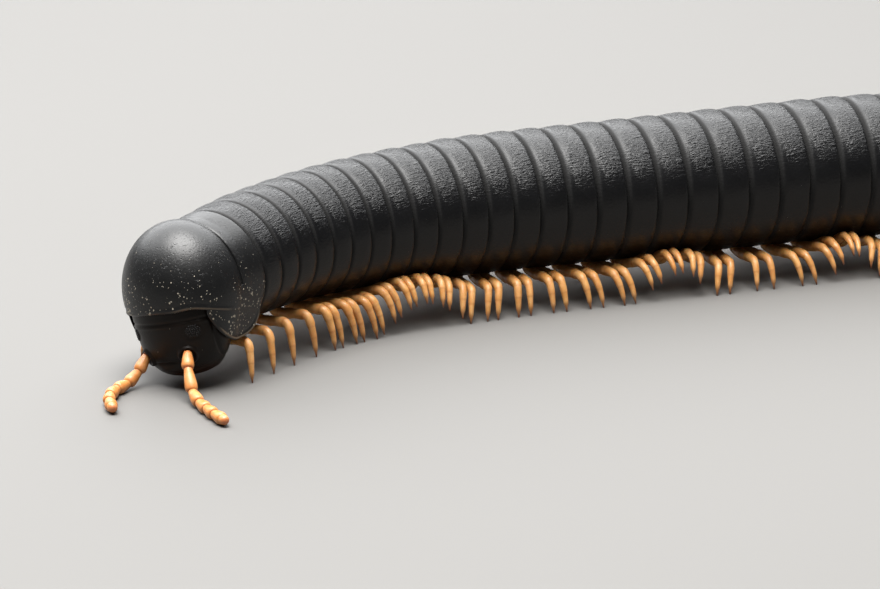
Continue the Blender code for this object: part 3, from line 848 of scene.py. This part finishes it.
@dataclass
class RingTwo:
    """The ring behind the collum, with a rounded lobe on each side that covers the head's cheek."""

    line: BodyLine
    axes: HeadAxes
    dome: Collum
    head: "Head"
    # Place along the ring, drop below its hind edge's radius
    profile: Knots = (
        (0.0, 0.08), (0.04, 0.04), (0.12, 0.02), (0.34, 0.03), (0.40, 0.05), (0.46, 0.03), (0.60, 0.01),
        (0.80, 0.0), (0.92, 0.0), (0.965, 0.02), (0.99, 0.07), (1.0, 0.17)
    )
    lobe_centre: tuple[float, float] = (-0.9, -2.30)
    lobe_front: float = 3.05
    lobe_rear: float = 3.0
    lobe_tall: float = 2.05
    lobe_lean: float = 0.5
    dome_end: float = -0.8
    rear_taper: float = 0.09
    hang: float = 0.06
    head_gap: float = 0.12
    shell: float = 0.26
    sides: int = 160

    def add_ring(self, parts: MeshParts) -> None:
        """Add the ring itself."""
        front, rear = self.line.ring_span(2)
        angles = np.linspace(0, 2 * math.pi, self.sides + 1) - math.pi
        share, drop = (np.array(values) for values in zip(*self.profile))
        share, drop = np.r_[0.0, share, 1.0], np.r_[0.6, drop, 0.6]
        s_rows = front + (rear - front) * share + 0.02
        grid = self.line.around(s_rows, self.line.radius(s_rows) - drop, angles[:-1])
        place = np.zeros((len(share), len(angles), 2))
        parts.add_grid(grid, maps_for(s_rows, angles * 4.8), place, start_cap=True, end_cap=True)

    def lobe_surface(self, forward: np.ndarray, up: np.ndarray) -> np.ndarray:
        """How far out a lobe's face lies: the dome's side carried on downward, clear of the cheek.

        Args:
            forward: Places along the head.
            up: Places up the head.

        Returns:
            Distances from the head's middle plane.
        """
        along = np.maximum(forward, self.dome_end)
        margin = self.dome.margin_height(along)
        edge = self.dome.half_width(along, np.maximum(up, margin))
        slope = (self.dome.semi[1] / self.dome.semi[2]) ** 2 * -margin / self.dome.half_width(along, margin)
        below = np.clip(margin - up, 0, None)
        carried = edge - slope * below + self.hang * below ** 2
        carried = carried - self.rear_taper * np.clip(self.dome_end - forward, 0, None)
        clear = self.head.side_reach(forward, up) + self.head_gap + self.shell
        return (carried + clear + np.sqrt((carried - clear) ** 2 + 0.02)) / 2 - 0.03

    def add_lobe(self, parts: MeshParts, side: Side) -> None:
        """Add one lobe: a shell that continues the dome downward, with a rolled pale edge.

        Args:
            parts: The piece under construction.
            side: The animal's side.
        """
        turn = np.linspace(0, 2 * math.pi, 121)[:-1]
        reach = np.r_[np.linspace(0.03, 1.0, 26), 0.995, 0.96, 0.60, 0.03][:, None]
        inset = np.r_[np.zeros(26), 0.10, self.shell * 0.85, self.shell, self.shell][:, None]
        below = np.clip(-np.sin(turn), 0, None)[None, :]
        across = np.sign(np.cos(turn)) * np.abs(np.cos(turn)) ** 0.8
        height = np.sign(np.sin(turn)) * np.abs(np.sin(turn)) ** 0.8
        length = np.where(across > 0, self.lobe_front, self.lobe_rear)
        lean = self.lobe_lean * self.lobe_tall * height * np.clip(across, 0, None)
        forward = self.lobe_centre[0] + reach * (length * across + lean)
        up = self.lobe_centre[1] + reach * self.lobe_tall * height
        lower = smooth(0.0, 0.5, below)
        rim = bell(0.93, 0.07, reach) * lower * (inset < 0.01)
        groove = bell(0.82, 0.06, reach) * lower * (inset < 0.01)
        out = self.lobe_surface(forward, up) - inset + 0.06 * rim - 0.03 * groove
        out = out - 0.07 * smooth(0.96, 1.0, reach) * (inset < 0.01)
        local = np.stack([forward, side.value * out, up], axis=-1)
        mark = np.concatenate([rim, rim[:, :1]], axis=1)
        place = np.stack([mark, np.zeros_like(mark)], axis=-1)
        parts.add_grid(self.axes.to_model(local), place, place, start_cap=True, end_cap=True)

    def build(self) -> bpy.types.Object:
        """Make the ring with both lobes."""
        parts = MeshParts.empty()
        self.add_ring(parts)
        for side in Side:
            self.add_lobe(parts, side)
        return parts.to_object("ring_02_shell")


@dataclass
class Head:
    """The head shell under the collum: forehead, cheeks, upper lip and chin plate in one skin."""

    axes: HeadAxes
    centre_forward: float = 0.9
    semi: tuple[float, float, float] = (3.35, 3.95, 6.4)
    squareness: float = 3.0
    top: float = -0.35
    columns: int = 224
    rows: int = 120
    cheek_at: tuple[float, float] = (1.7, 3.6)
    cheek_angle: float = 27.0
    chin_at: tuple[float, float] = (2.3, -5.75)
    chin_angle: float = 22.0
    socket: tuple[float, float] = (1.95, -4.5)
    eye: tuple[float, float] = (2.75, -2.7)
    groove_depth: float = 0.08

    def width(self, level: np.ndarray | float) -> np.ndarray:
        """The head's breadth at a level from its centre to its lowest point, as a share."""
        return (1 - np.clip(level, 0, 1) ** self.squareness) ** (1 / self.squareness)

    def side_reach(self, forward: np.ndarray, up: np.ndarray) -> np.ndarray:
        """How far out the cheek lies at a place along and up the head."""
        deep, wide, tall = self.semi
        breadth = self.width(np.abs(up) / tall)
        return wide * np.sqrt(np.clip(breadth ** 2 - ((forward - self.centre_forward) / deep) ** 2, 0, None))

    def on_front(self, side: float, up: float) -> tuple[np.ndarray, np.ndarray]:
        """The front surface's point at a side and height, with its outward normal."""
        deep, wide, tall = self.semi
        level = abs(up) / tall
        breadth = float(self.width(level))
        forward = deep * math.sqrt(breadth ** 2 - (side / wide) ** 2)
        fall = breadth ** (2 - self.squareness) * level ** (self.squareness - 1) / tall
        normal = np.array([forward / deep ** 2, side / wide ** 2, math.copysign(fall, up)])
        return np.array([self.centre_forward + forward, side, up]), unit(normal)

    def relief(self, points: np.ndarray) -> np.ndarray:
        """How far the skin stands in or out of the plain capsule, in millimetres."""
        forward, side, up = points[..., 0], points[..., 1], points[..., 2]
        out = np.zeros_like(forward)
        angle = math.radians(self.cheek_angle)
        for sign in (1, -1):
            along = (forward - self.cheek_at[0]) * -math.sin(angle)
            cheek = along + (side * sign - self.cheek_at[1]) * math.cos(angle)
            out -= self.groove_depth * bell(0, 0.16, cheek) * smooth(-6.0, -5.2, up)
            out += 0.05 * smooth(0.0, 0.7, cheek)
            place, _ = self.on_front(self.socket[0] * sign, self.socket[1])
            near = np.linalg.norm(points - place, axis=-1)
            out += 0.20 * bell(0.62, 0.24, near) - 0.22 * bell(0, 0.58, near)
            patch, _ = self.on_front(self.eye[0] * sign, self.eye[1])
            around_eye = np.linalg.norm((points - patch) / [0.8, 0.8, 0.6], axis=-1)
            out -= 0.03 * bell(1.0, 0.3, around_eye)
        chin = math.radians(self.chin_angle)
        below = (forward - self.chin_at[0]) * -math.sin(chin) + (up - self.chin_at[1]) * -math.cos(chin)
        middle = 1 - smooth(2.0, 2.8, np.abs(side))
        out -= self.groove_depth * bell(0, 0.15, below) * middle * smooth(1.2, 0.6, forward - 2.6)
        brow = bell(-1.85, 0.16, up) * smooth(1.5, 3.0, forward)
        out -= 0.07 * brow - 0.05 * bell(-2.12, 0.16, up) * smooth(1.5, 3.0, forward)
        out -= 0.07 * bell(0, 0.12, side) * smooth(1.0, 2.5, forward) * smooth(-2.9, -3.4, -(-up - 6.4))
        lip = bell(-5.45, 0.55, up) * bell(0, 1.9, side) * smooth(1.6, 2.6, forward)
        out += 0.30 * lip
        out -= 0.10 * bell(-4.95, 0.14, up) * bell(0, 2.0, side) * smooth(1.6, 2.6, forward)
        return out

    def build(self) -> bpy.types.Object:
        """Make the capsule from under the collum to its lowest point, then sculpt it."""
        around = np.linspace(0, 2 * math.pi, self.columns + 1)[:-1] + math.pi
        deep, wide, tall = self.semi
        start = abs(self.top) / tall
        share = np.linspace(0, 1, self.rows)
        level = start + (0.9995 - start) * np.sin(share * math.pi / 2) ** 0.92
        breadth = self.width(level)[:, None]
        shape = np.broadcast_to(level[:, None], (self.rows, self.columns))
        points = np.stack(
            [
                self.centre_forward + deep * breadth * np.cos(around),
                wide * breadth * np.sin(around),
                -tall * shape,
            ],
            axis=-1,
        )
        upright = level[:, None] ** (self.squareness - 1) * breadth ** (2 - self.squareness)
        normal = unit(
            np.stack(
                [
                    np.broadcast_to(breadth * np.cos(around) / deep, shape.shape),
                    np.broadcast_to(breadth * np.sin(around) / wide, shape.shape),
                    -np.broadcast_to(upright / tall, shape.shape),
                ],
                axis=-1,
            )
        )
        points = points + normal * self.relief(points)[..., None]
        point, plane = self.axes.neck()
        behind = np.clip(-((points - point) @ plane) + 0.10, 0, None)
        points = points + plane * behind[..., None]
        place = np.stack([np.zeros_like(shape), shape], axis=-1)
        place = np.concatenate([place, place[:, :1]], axis=1)
        pattern = maps_for(level * tall, np.arange(self.columns + 1) * 0.1)
        parts = MeshParts.empty()
        grid = self.axes.to_model(points)[::-1]
        parts.add_grid(grid, pattern[::-1], place[::-1], start_cap=True, end_cap=True)
        return parts.to_object("head_skin")


@dataclass
class Ocelli:
    """One field of simple eyes in rows on the side of the head."""

    head: Head
    side: Side
    bead: float = 0.10
    rows: Sequence[int] = (4, 6, 7, 7, 6, 4)
    pitch: float = 0.165

    def build(self) -> bpy.types.Object:
        """Set every bead on the head's surface."""
        place, normal = self.head.on_front(self.side.value * self.head.eye[0], self.head.eye[1])
        across = unit(np.cross(UP, normal)) * self.side.value
        upward = np.cross(normal, across) * self.side.value
        turn = np.linspace(0, 2 * math.pi, 13)[:-1]
        parts = MeshParts.empty()
        for row, count in enumerate(self.rows):
            for number in range(count):
                u = (number - (count - 1) / 2) * self.pitch
                v = (row - (len(self.rows) - 1) / 2) * self.pitch * 0.9
                middle = place + across * u + upward * v
                deep, wide, tall = self.head.semi
                level = abs(middle[2]) / tall
                reach = float(self.head.width(level)) ** 2 - (middle[1] / wide) ** 2
                middle[0] = self.head.centre_forward + deep * math.sqrt(max(reach, 0.0))
                size = self.bead * (1 - 0.10 * abs(v) / 0.4)
                fall = np.linspace(1.75, 0.12, 6)
                ring = (
                    across * np.cos(turn)[:, None] * self.side.value
                    + upward * np.sin(turn)[:, None] * self.side.value
                )
                grid = middle + size * (
                    np.sin(fall)[:, None, None] * ring[None] + 0.8 * np.cos(fall)[:, None, None] * normal
                )
                zero = np.zeros((len(fall), len(turn) + 1, 2))
                parts.add_grid(self.head.axes.to_model(grid), zero, zero, end_cap=True)
        return parts.to_object("ocelli_" + self.side.word)


@dataclass
class Tube:
    """A tube of varying thickness through a path, for legs and antennae."""

    path: np.ndarray
    radii: np.ndarray
    along: np.ndarray
    marks: np.ndarray
    own: float
    sides: int = 10
    flatten: float = 1.0

    def add_to(self, parts: MeshParts) -> None:
        """Add the tube to a piece, with closed ends."""
        direction = unit(np.gradient(self.path, axis=0))
        side = unit(np.cross(direction, UP + np.array([1e-3, 2e-3, 0])))
        other = np.cross(side, direction)
        turn = np.linspace(0, 2 * math.pi, self.sides + 1)[:-1]
        ring = side[:, None] * np.cos(turn)[None, :, None] + other[:, None] * (
            self.flatten * np.sin(turn)[None, :, None]
        )
        grid = self.path[:, None] + ring * self.radii[:, None, None]
        grid[..., 2] = np.maximum(grid[..., 2], 0.0)
        count = self.sides + 1
        pattern = np.stack(
            [np.repeat(self.along[:, None], count, 1), np.full((len(self.along), count), self.own)], axis=-1
        )
        place = np.stack(
            [np.repeat(self.marks[:, None], count, 1), np.zeros((len(self.marks), count))], axis=-1
        )
        parts.add_grid(grid[:, ::-1], pattern, place, start_cap=True, end_cap=True)


def smooth_path(points: np.ndarray, count: int) -> np.ndarray:
    """A rounded path through a few points.

    Args:
        points: Points to pass, in order.
        count: How many points to return.

    Returns:
        Points evenly spaced along a Catmull-Rom curve.
    """
    padded = np.concatenate([[2 * points[0] - points[1]], points, [2 * points[-1] - points[-2]]])
    fine = []
    for i in range(1, len(padded) - 2):
        t = np.linspace(0, 1, 24, endpoint=False)[:, None]
        a, b, c, d = padded[i - 1 : i + 3]
        bend = (2 * a - 5 * b + 4 * c - d) * t**2
        twist = (3 * b - a - 3 * c + d) * t**3
        fine.append(0.5 * (2 * b + (c - a) * t + bend + twist))
    fine = np.concatenate(fine + [points[-1:]])
    lengths = np.concatenate([[0], np.cumsum(np.linalg.norm(np.diff(fine, axis=0), axis=1))])
    wanted = np.linspace(0, lengths[-1], count)
    return np.stack([np.interp(wanted, lengths, fine[:, k]) for k in range(3)], axis=-1)


@dataclass
class LegRow:
    """The legs of a run of rings, both sides, in the solids' places and stride."""

    line: BodyLine
    first: int
    last: int
    name: str
    last_single_pair: int = 5
    last_legged: int = 44
    pair_places: tuple = ((0.5,), (0.34, 0.70))
    root_out: float = 1.0
    root_depth: float = 0.45
    hip_out: float = 0.36
    hip_below_belly: float = 0.30
    knee_out: float = 0.97
    knee_below_belly: float = 0.22
    knee_lift: float = 0.5
    shin_out: float = 1.08
    shin_height: float = 0.54
    tip_out: float = 1.14
    crests: Sequence[float] = (-20, -6, 21.5, 45.5, 61, 78, 94, 111, 129)
    swing: float = 1.3
    lift: float = 2.2
    lift_share: float = 0.24
    rows: int = 34
    sides: int = 10
    # Place along the leg, half thickness; the joints between the leg's seven pieces are the narrow ones
    girth: Knots = (
        (0.0, 0.50), (0.10, 0.56), (0.16, 0.46), (0.19, 0.43), (0.33, 0.46), (0.36, 0.41), (0.50, 0.46),
        (0.53, 0.39), (0.64, 0.38), (0.67, 0.32), (0.78, 0.29), (0.81, 0.25), (0.91, 0.20), (0.935, 0.13),
        (1.0, 0.045)
    )
    joints: Sequence[float] = (0.175, 0.345, 0.515, 0.655, 0.795, 0.925)

    def phase(self, s: float) -> float:
        """Place in the walking wave, in whole turns, zero where the legs are lifted highest."""
        return float(np.interp(s, self.crests, range(len(self.crests))))

    def points(self, s: float, side: Side) -> np.ndarray:
        """A leg's root, hip, knee, shin and tip."""
        line = self.line
        phase = self.phase(s)
        away = abs(phase - round(phase))
        swing = -self.swing * math.sin(2 * math.pi * phase)
        lift = self.lift * math.cos(math.pi / 2 * away / self.lift_share) if away < self.lift_share else 0.0
        tailward, left, _ = line.axes(s)
        tailward = unit(np.array([tailward[0], tailward[1], 0.0]))
        radius, middle = float(line.radius(s)), line.centre(s)
        belly = middle[2] - line.belly_flat * radius
        knee = belly - self.knee_below_belly + self.knee_lift * lift

        def spot(out: float, share: float, height: float) -> np.ndarray:
            """A point at a lateral distance, a share of the swing and a height."""
            place = middle + left * (side.value * out) + tailward * (swing * share)
            return np.array([place[0], place[1], height])

        return np.array(
            [
                spot(self.root_out, 0, belly + self.root_depth),
                spot(self.hip_out * radius, 0.1, belly - self.hip_below_belly),
                spot(self.knee_out * radius * 0.80, 0.48, knee + 0.10),
                spot(self.knee_out * radius, 0.6, knee),
                spot(self.shin_out * radius, 0.85, lift + (knee - lift) * self.shin_height),
                spot(self.tip_out * radius, 1, lift),
            ]
        )

    def build(self) -> bpy.types.Object | None:
        """Make every leg of the run."""
        random = np.random.default_rng(self.first * 7 + 3)
        parts = MeshParts.empty()
        along = np.linspace(0, 1, self.rows)
        marks = np.max([bell(joint, 0.028, along) for joint in self.joints], axis=0)
        for ring in range(self.first, min(self.last, self.last_legged) + 1):
            front, rear = self.line.ring_span(ring)
            for share in self.pair_places[0 if ring <= self.last_single_pair else 1]:
                s = front + (rear - front) * share
                size = min(1.0, float(self.line.radius(s)) / 5.6) ** 0.5
                for side in Side:
                    path = smooth_path(self.points(s, side), self.rows)
                    radii = along_knots(self.girth, along) * size * random.uniform(0.94, 1.05)
                    Tube(path, radii, along, marks, random.uniform(0, 1), self.sides).add_to(parts)
        return parts.to_object(self.name) if parts.faces else None


@dataclass
class Antenna:
    """One antenna of seven club-shaped articles, from its socket down to the floor."""

    head: Head
    side: Side
    lengths: Sequence[float] = (0.85, 1.9, 1.6, 1.5, 1.4, 1.4, 0.6)
    club: Knots = ((0, 0.62), (0.12, 0.70), (0.45, 0.88), (0.75, 1.0), (0.92, 0.93), (1.0, 0.66))
    thick: float = 0.50
    rim: float = 0.22
    gap: float = 0.3
    sides: int = 20

    def turns(self) -> tuple[Sequence[float], Sequence[float]]:
        """Each article's turn outward and its dip, in degrees."""
        if self.side is Side.LEFT:
            return (40, 52, 58, 60, 62, 66, 66), (42, 48, 17, 0, 0, 0, 0)
        return (3, 5, -5, -20, -36, -48, -56), (48, 52, 20, 0, 0, 0, 0)

    def joints(self) -> np.ndarray:
        """The articles' end points, from the root outward."""
        point, normal = self.head.on_front(self.side.value * self.head.socket[0], self.head.socket[1])
        place = self.head.axes.to_model(point + normal * (self.rim + self.gap))
        forward = self.head.axes.matrix()[0]
        points = [place]
        for length, turn, dip in zip(self.lengths, *self.turns()):
            spin = math.radians(self.side.value * turn)
            heading = np.array(Matrix.Rotation(spin, 3, "Z") @ Vector(forward)) * math.cos(math.radians(dip))
            heading[2] = -math.sin(math.radians(dip))
            place = place + heading * length
            place[2] = max(place[2], self.thick)
            points.append(place)
        return np.array(points)

    def build(self) -> bpy.types.Object:
        """Make the articles, each narrow at its root and swollen toward its end."""
        joints = self.joints()
        inward = unit(joints[0] - joints[1])
        parts = MeshParts.empty()
        total = float(sum(self.lengths))
        done = 0.0
        for number, length in enumerate(self.lengths):
            first, second = joints[number], joints[number + 1]
            start = first + inward * 0.5 if number == 0 else first
            share = np.linspace(0, 1, 15)
            club = along_knots(self.club, share)
            if number == len(self.lengths) - 1:
                club = np.sqrt(np.clip(1 - (share / 1.02) ** 3, 0, 1)) * 0.80
            path = start + (second - start) * (share * 1.04 - 0.02)[:, None]
            path[:, 2] = np.maximum(path[:, 2], self.thick * club)
            marks = np.maximum(bell(0, 0.16, share), bell(1, 0.07, share))
            along = (done + share * length) / total
            Tube(path, self.thick * club, along, marks, 0.3, self.sides).add_to(parts)
            done += length
        return parts.to_object("antenna_articles_" + self.side.word)


@dataclass
class Telson:
    """The tail's end: preanal ring, two rounded valves with rims and the scale below them."""

    line: BodyLine
    length: float = 2.3
    rear_tilt: float = 14.0
    profile: Knots = ((0, 0.25), (0.12, 0.12), (0.3, 0.05), (0.7, 0.3), (1.1, 0.75), (1.4, 1.15))
    valve_semi: tuple[float, float, float] = (3.1, 3.35, 3.5)
    valve_shift: float = -0.4
    scale_at: float = -2.45
    gap: float = 0.12

    def start(self) -> float:
        """Where the telson begins along the body."""
        return self.line.edges[-1]

    def to_model(self, points: np.ndarray) -> np.ndarray:
        """Carry points from the telson's axes (tailward, left, up) to the model's."""
        tailward, left, up = self.line.axes(self.start())
        return self.line.centre(self.start()) + points @ np.stack([tailward, left, up])

    def build_ring(self) -> bpy.types.Object:
        """Make the preanal ring, its rear edge slanted and turned in."""
        angles = np.linspace(0, 2 * math.pi, 129) - math.pi
        base = float(self.line.radius(self.start()))
        tilt = math.tan(math.radians(self.rear_tilt))
        rows = []
        share = np.linspace(0, 1, 22)
        for part in share:
            x_rear = self.length + tilt * base * 0.8 * np.cos(angles[:-1])
            x = x_rear * part
            drop = along_knots(self.profile, x / self.length)
            radius = base - drop
            rows.append(np.stack([x, radius * np.sin(angles[:-1]), radius * np.cos(angles[:-1])], axis=-1))
        edge = rows[-1]
        for inset, back in ((0.06, 0.07), (0.2, 0.08), (0.34, -0.02), (0.4, -0.6)):
            inner = edge * [1, 1 - inset / base * 1.3, 1 - inset / base * 1.3] + [back, 0, 0]
            rows.append(inner)
        grid = np.stack(rows)
        flat = -self.line.belly_flat * base
        grid[..., 2] = np.maximum(grid[..., 2], flat)
        parts = MeshParts.empty()
        s_rows = np.concatenate([share * self.length, np.full(4, self.length)]) + self.start()
        place = maps_for(np.concatenate([0.3 + 0.6 * share, np.full(4, 0.95)]), np.abs(angles) / math.pi)
        pattern = maps_for(s_rows, angles * base)
        parts.add_grid(self.to_model(grid)[:, ::-1], pattern[:, ::-1], place[:, ::-1], start_cap=True)
        return parts.to_object("preanal_shell")

    def build_valve(self, side: Side) -> bpy.types.Object:
        """Make one valve as half a ball with a raised rim along the middle."""
        deep, wide, tall = self.valve_semi
        fall = np.linspace(0.02, math.pi - 0.75, 60)
        turn = np.linspace(0, math.pi, 50)
        v, u = np.meshgrid(fall, turn, indexing="ij")
        x = deep * np.sin(v) * np.sin(u)
        y = side.value * wide * np.sin(v) * np.cos(u) * -0.5
        share = u / math.pi
        y = side.value * (self.gap / 2 + wide * np.sin(v) * np.sin(share * math.pi / 2))
        x = deep * np.sin(v) * np.cos(share * math.pi / 2)
        z = tall * np.cos(v)
        from_seam = np.abs(y) - self.gap / 2
        rim = bell(0.22, 0.20, from_seam) * 0.13 - bell(0.0, 0.1, from_seam) * 0.1
        points = np.stack([x, y, z], axis=-1)
        normal = unit(points / np.array([deep, wide, tall]) ** 2)
        points = points + normal * rim[..., None]
        inner = points[:, :1] * [0.7, 1, 1]
        points = np.concatenate([inner, points], axis=1) + [self.length + self.valve_shift, 0, 0]
        points[..., 2] = np.maximum(points[..., 2], self.scale_at + 0.05)
        count = points.shape[1]
        pattern = maps_for(fall * 3.0, np.linspace(0, 4, count))
        place = maps_for(np.full(len(fall), 0.6), np.linspace(0.5, 0.7, count))
        if side is Side.RIGHT:
            points = points[:, ::-1]
        parts = MeshParts.empty()
        parts.add_grid(self.to_model(points), pattern, place, closed=False)
        return parts.to_object("anal_valve_shell_" + side.word)

    def build_scale(self) -> bpy.types.Object:
        """Make the small rounded scale under the valves."""
        share = np.linspace(0, 1, 24)
        turn = np.linspace(0, 2 * math.pi, 49)
        base = float(self.line.radius(self.start())) * self.line.belly_flat
        rows = []
        for part in share:
            half = 1.9 * math.sqrt(max(1 - part ** 2.2, 0.0)) + 0.02
            x = self.length - 0.7 + part * 2.1
            z = self.scale_at - 0.42 + 0.30 * part
            across, upward = half * np.cos(turn[:-1]), z + 0.26 * np.sin(turn[:-1])
            rows.append(np.stack([np.full(48, x), across, upward], axis=-1))
        grid = np.stack(rows)
        grid[..., 2] = np.maximum(grid[..., 2], -base)
        parts = MeshParts.empty()
        pattern = maps_for(share * 2, turn)
        place = maps_for(np.full(24, 0.6), np.full(49, 0.8))
        parts.add_grid(self.to_model(grid), pattern, place, start_cap=True, end_cap=True)
        return parts.to_object("subanal_scale_shell")


@dataclass
class Sternites:
    """The row of small plates between the leg roots along the belly."""

    line: BodyLine
    legs: LegRow
    half_width: float = 1.25

    def build(self) -> bpy.types.Object:
        """Make one rounded plate for every pair of legs."""
        parts = MeshParts.empty()
        turn = np.linspace(0, 2 * math.pi, 25)[:-1]
        for ring in range(3, self.legs.last_legged + 1):
            front, rear = self.line.ring_span(ring)
            places = self.legs.pair_places[0 if ring <= self.legs.last_single_pair else 1]
            half_length = (rear - front) * (0.40 if len(places) == 1 else 0.165)
            for share in places:
                s = front + (rear - front) * share
                tailward, left, up = self.line.axes(s)
                radius = float(self.line.radius(s))
                base = self.line.centre(s) - up * (self.line.belly_flat * radius - 0.10)
                outline = np.sign(np.cos(turn)) * np.abs(np.cos(turn)) ** 0.5
                across = np.sign(np.sin(turn)) * np.abs(np.sin(turn)) ** 0.5
                rows = []
                for size, drop in ((0.9, 0.0), (1.0, 0.12), (0.97, 0.19), (0.82, 0.235), (0.4, 0.25)):
                    ring_points = base - up * drop
                    ring_points = ring_points + tailward * (outline * half_length * size)[:, None]
                    rows.append(ring_points + left * (across * self.half_width * size)[:, None])
                grid = np.stack(rows)
                zero = np.zeros((len(rows), len(turn) + 1, 2))
                parts.add_grid(grid[:, ::-1], zero, zero + [0.6, 0.0], start_cap=True, end_cap=True)
        return parts.to_object("sternites")


@dataclass
class Studio:
    """Floor, lights, world and the camera at the photo's angle."""

    distance: float = 350.0
    scale_px_per_mm: float = 12.3
    frame_width_px: int = 880
    elevation: float = 17.0
    azimuth: float = 20.0
    roll: float = 0.55
    target: tuple[float, float, float] = (-30.04, 9.64, 0.10)
    sensor: float = 36.0

    def build_floor(self) -> bpy.types.Object:
        """A wide plain sheet on the ground."""
        parts = MeshParts.empty()
        reach = np.linspace(-2500, 2500, 9)
        grid = np.stack(np.meshgrid(reach, reach, indexing="ij") + [np.zeros((9, 9))], axis=-1)
        zero = np.zeros((9, 9, 2))
        parts.add_grid(grid, zero, zero, closed=False)
        floor = parts.to_object("studio_floor")
        floor.data.materials.append(FloorFinish().make())
        return floor

    def add_light(self, name: str, place: tuple, size: float, power: float, tint: tuple) -> None:
        """Add one soft area light aimed at the front of the animal.

        Args:
            name: The light's name.
            place: Its place in millimetres.
            size: Its side in millimetres.
            power: Its power in watts.
            tint: Its colour.
        """
        lamp = bpy.data.lights.new(name, "AREA")
        lamp.shape = "DISK"
        lamp.size = size * MM
        lamp.energy = power
        lamp.color = tint
        holder = bpy.data.objects.new(name, lamp)
        holder.location = Vector(place) * MM
        aim = Vector((-15.0, 0.0, 6.0)) * MM - holder.location
        holder.rotation_euler = aim.to_track_quat("-Z", "Y").to_euler()
        bpy.context.scene.collection.objects.link(holder)

    def build_lights(self) -> None:
        """A broad sky of light above and behind, a smaller key overhead and a dim pale world."""
        self.add_light("sky_soft", (-20, 240, 390), 960, 11.8, (0.98, 0.99, 1.0))
        self.add_light("zenith_key", (-74, -22, 430), 330, 5.2, (1.0, 0.985, 0.96))
        world = bpy.data.worlds.new("studio_world")
        world.use_nodes = True
        back = world.node_tree.nodes["Background"]
        back.inputs["Color"].default_value = (0.86, 0.88, 0.92, 1)
        back.inputs["Strength"].default_value = 0.09
        bpy.context.scene.world = world
        bpy.context.scene.view_settings.view_transform = "Standard"

    def build_camera(self) -> None:
        """A long lens at the photo's azimuth, elevation and slight roll."""
        rise, turn, roll = math.radians(self.elevation), math.radians(self.azimuth), math.radians(self.roll)
        forward = Vector(
            (math.sin(turn) * math.cos(rise), math.cos(turn) * math.cos(rise), -math.sin(rise))
        )
        level = Vector((math.cos(turn), -math.sin(turn), 0))
        upright = level.cross(forward)
        right = level * math.cos(roll) + upright * math.sin(roll)
        up = upright * math.cos(roll) - level * math.sin(roll)
        turn_matrix = Matrix((right, up, -forward)).transposed()
        camera = bpy.data.cameras.new("camera")
        camera.sensor_width = self.sensor
        camera.sensor_fit = "HORIZONTAL"
        camera.lens = self.scale_px_per_mm * self.distance * self.sensor / self.frame_width_px
        camera.clip_start = 0.01
        holder = bpy.data.objects.new("camera", camera)
        holder.matrix_world = Matrix.Translation((Vector(self.target) - forward * self.distance) * MM) @ (
            turn_matrix.to_4x4()
        )
        bpy.context.scene.collection.objects.link(holder)
        bpy.context.scene.camera = holder

    def build(self) -> None:
        """Set the whole studio up."""
        self.build_floor()
        self.build_lights()
        self.build_camera()


LEG_FINISH = LimbFinish(
    name="leg_orange",
    main=(0.58, 0.27, 0.075),
    pale=(0.70, 0.385, 0.15),
    joint=(0.44, 0.18, 0.05),
    tip=(0.16, 0.05, 0.022),
    tip_start=0.86,
)
ANTENNA_FINISH = LimbFinish(
    name="antenna_orange",
    main=(0.50, 0.190, 0.044),
    pale=(0.62, 0.285, 0.10),
    joint=(0.42, 0.12, 0.03),
    tip=(0.48, 0.17, 0.06),
    tip_start=0.95,
)


def write_sizes() -> None:
    """Update the view layer."""
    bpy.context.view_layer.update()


def main() -> None:
    """Build and dress every sub-assembly in order."""
    logging.basicConfig(level=logging.INFO, format="%(name)s: %(message)s")
    line = BodyLine()
    head_axes = HeadAxes(line)
    Studio().build()
    cuticle = CuticleFinish().make()
    shield = CollumFinish("collum_cuticle").make()
    head_shell = HeadFinish().make()
    leg_orange = LEG_FINISH.make()
    antenna_orange = ANTENNA_FINISH.make()
    ocelli = EyeFinish().make()

    trunk = Trunk(line)
    publish(trunk.build(), cuticle, trunk.nodes())
    head, collum = Head(head_axes), Collum(head_axes)
    publish(collum.build(), shield, ["collum"])
    publish(RingTwo(line, head_axes, collum, head).build(), shield, ["ring_02"])
    head_nodes = ["head", "gnathochilarium", "mandible_left", "mandible_right"]
    publish(head.build(), head_shell, head_nodes)
    for side in Side:
        publish(Ocelli(head, side).build(), ocelli, ["eye_" + side.word])
        publish(Antenna(head, side).build(), antenna_orange, ["antenna_" + side.word])
    runs = [("legs_ring_02", 2, 2)]
    fours = enumerate(range(3, 47, 4), start=1)
    runs += [(f"legs_{number:02d}", first, first + 3) for number, first in fours]
    for name, first, last in runs:
        legs = LegRow(line, first, last, name).build()
        if legs is not None:
            publish(legs, leg_orange, [])
    publish(Sternites(line, LegRow(line, 3, 3, "pattern")).build(), leg_orange, [])
    telson = Telson(line)
    publish(telson.build_ring(), cuticle, ["preanal_ring"])
    for side in Side:
        publish(telson.build_valve(side), cuticle, ["anal_valve_" + side.word])
    publish(telson.build_scale(), cuticle, ["subanal_scale"])
    write_sizes()


if __name__ == "__main__":
    main()
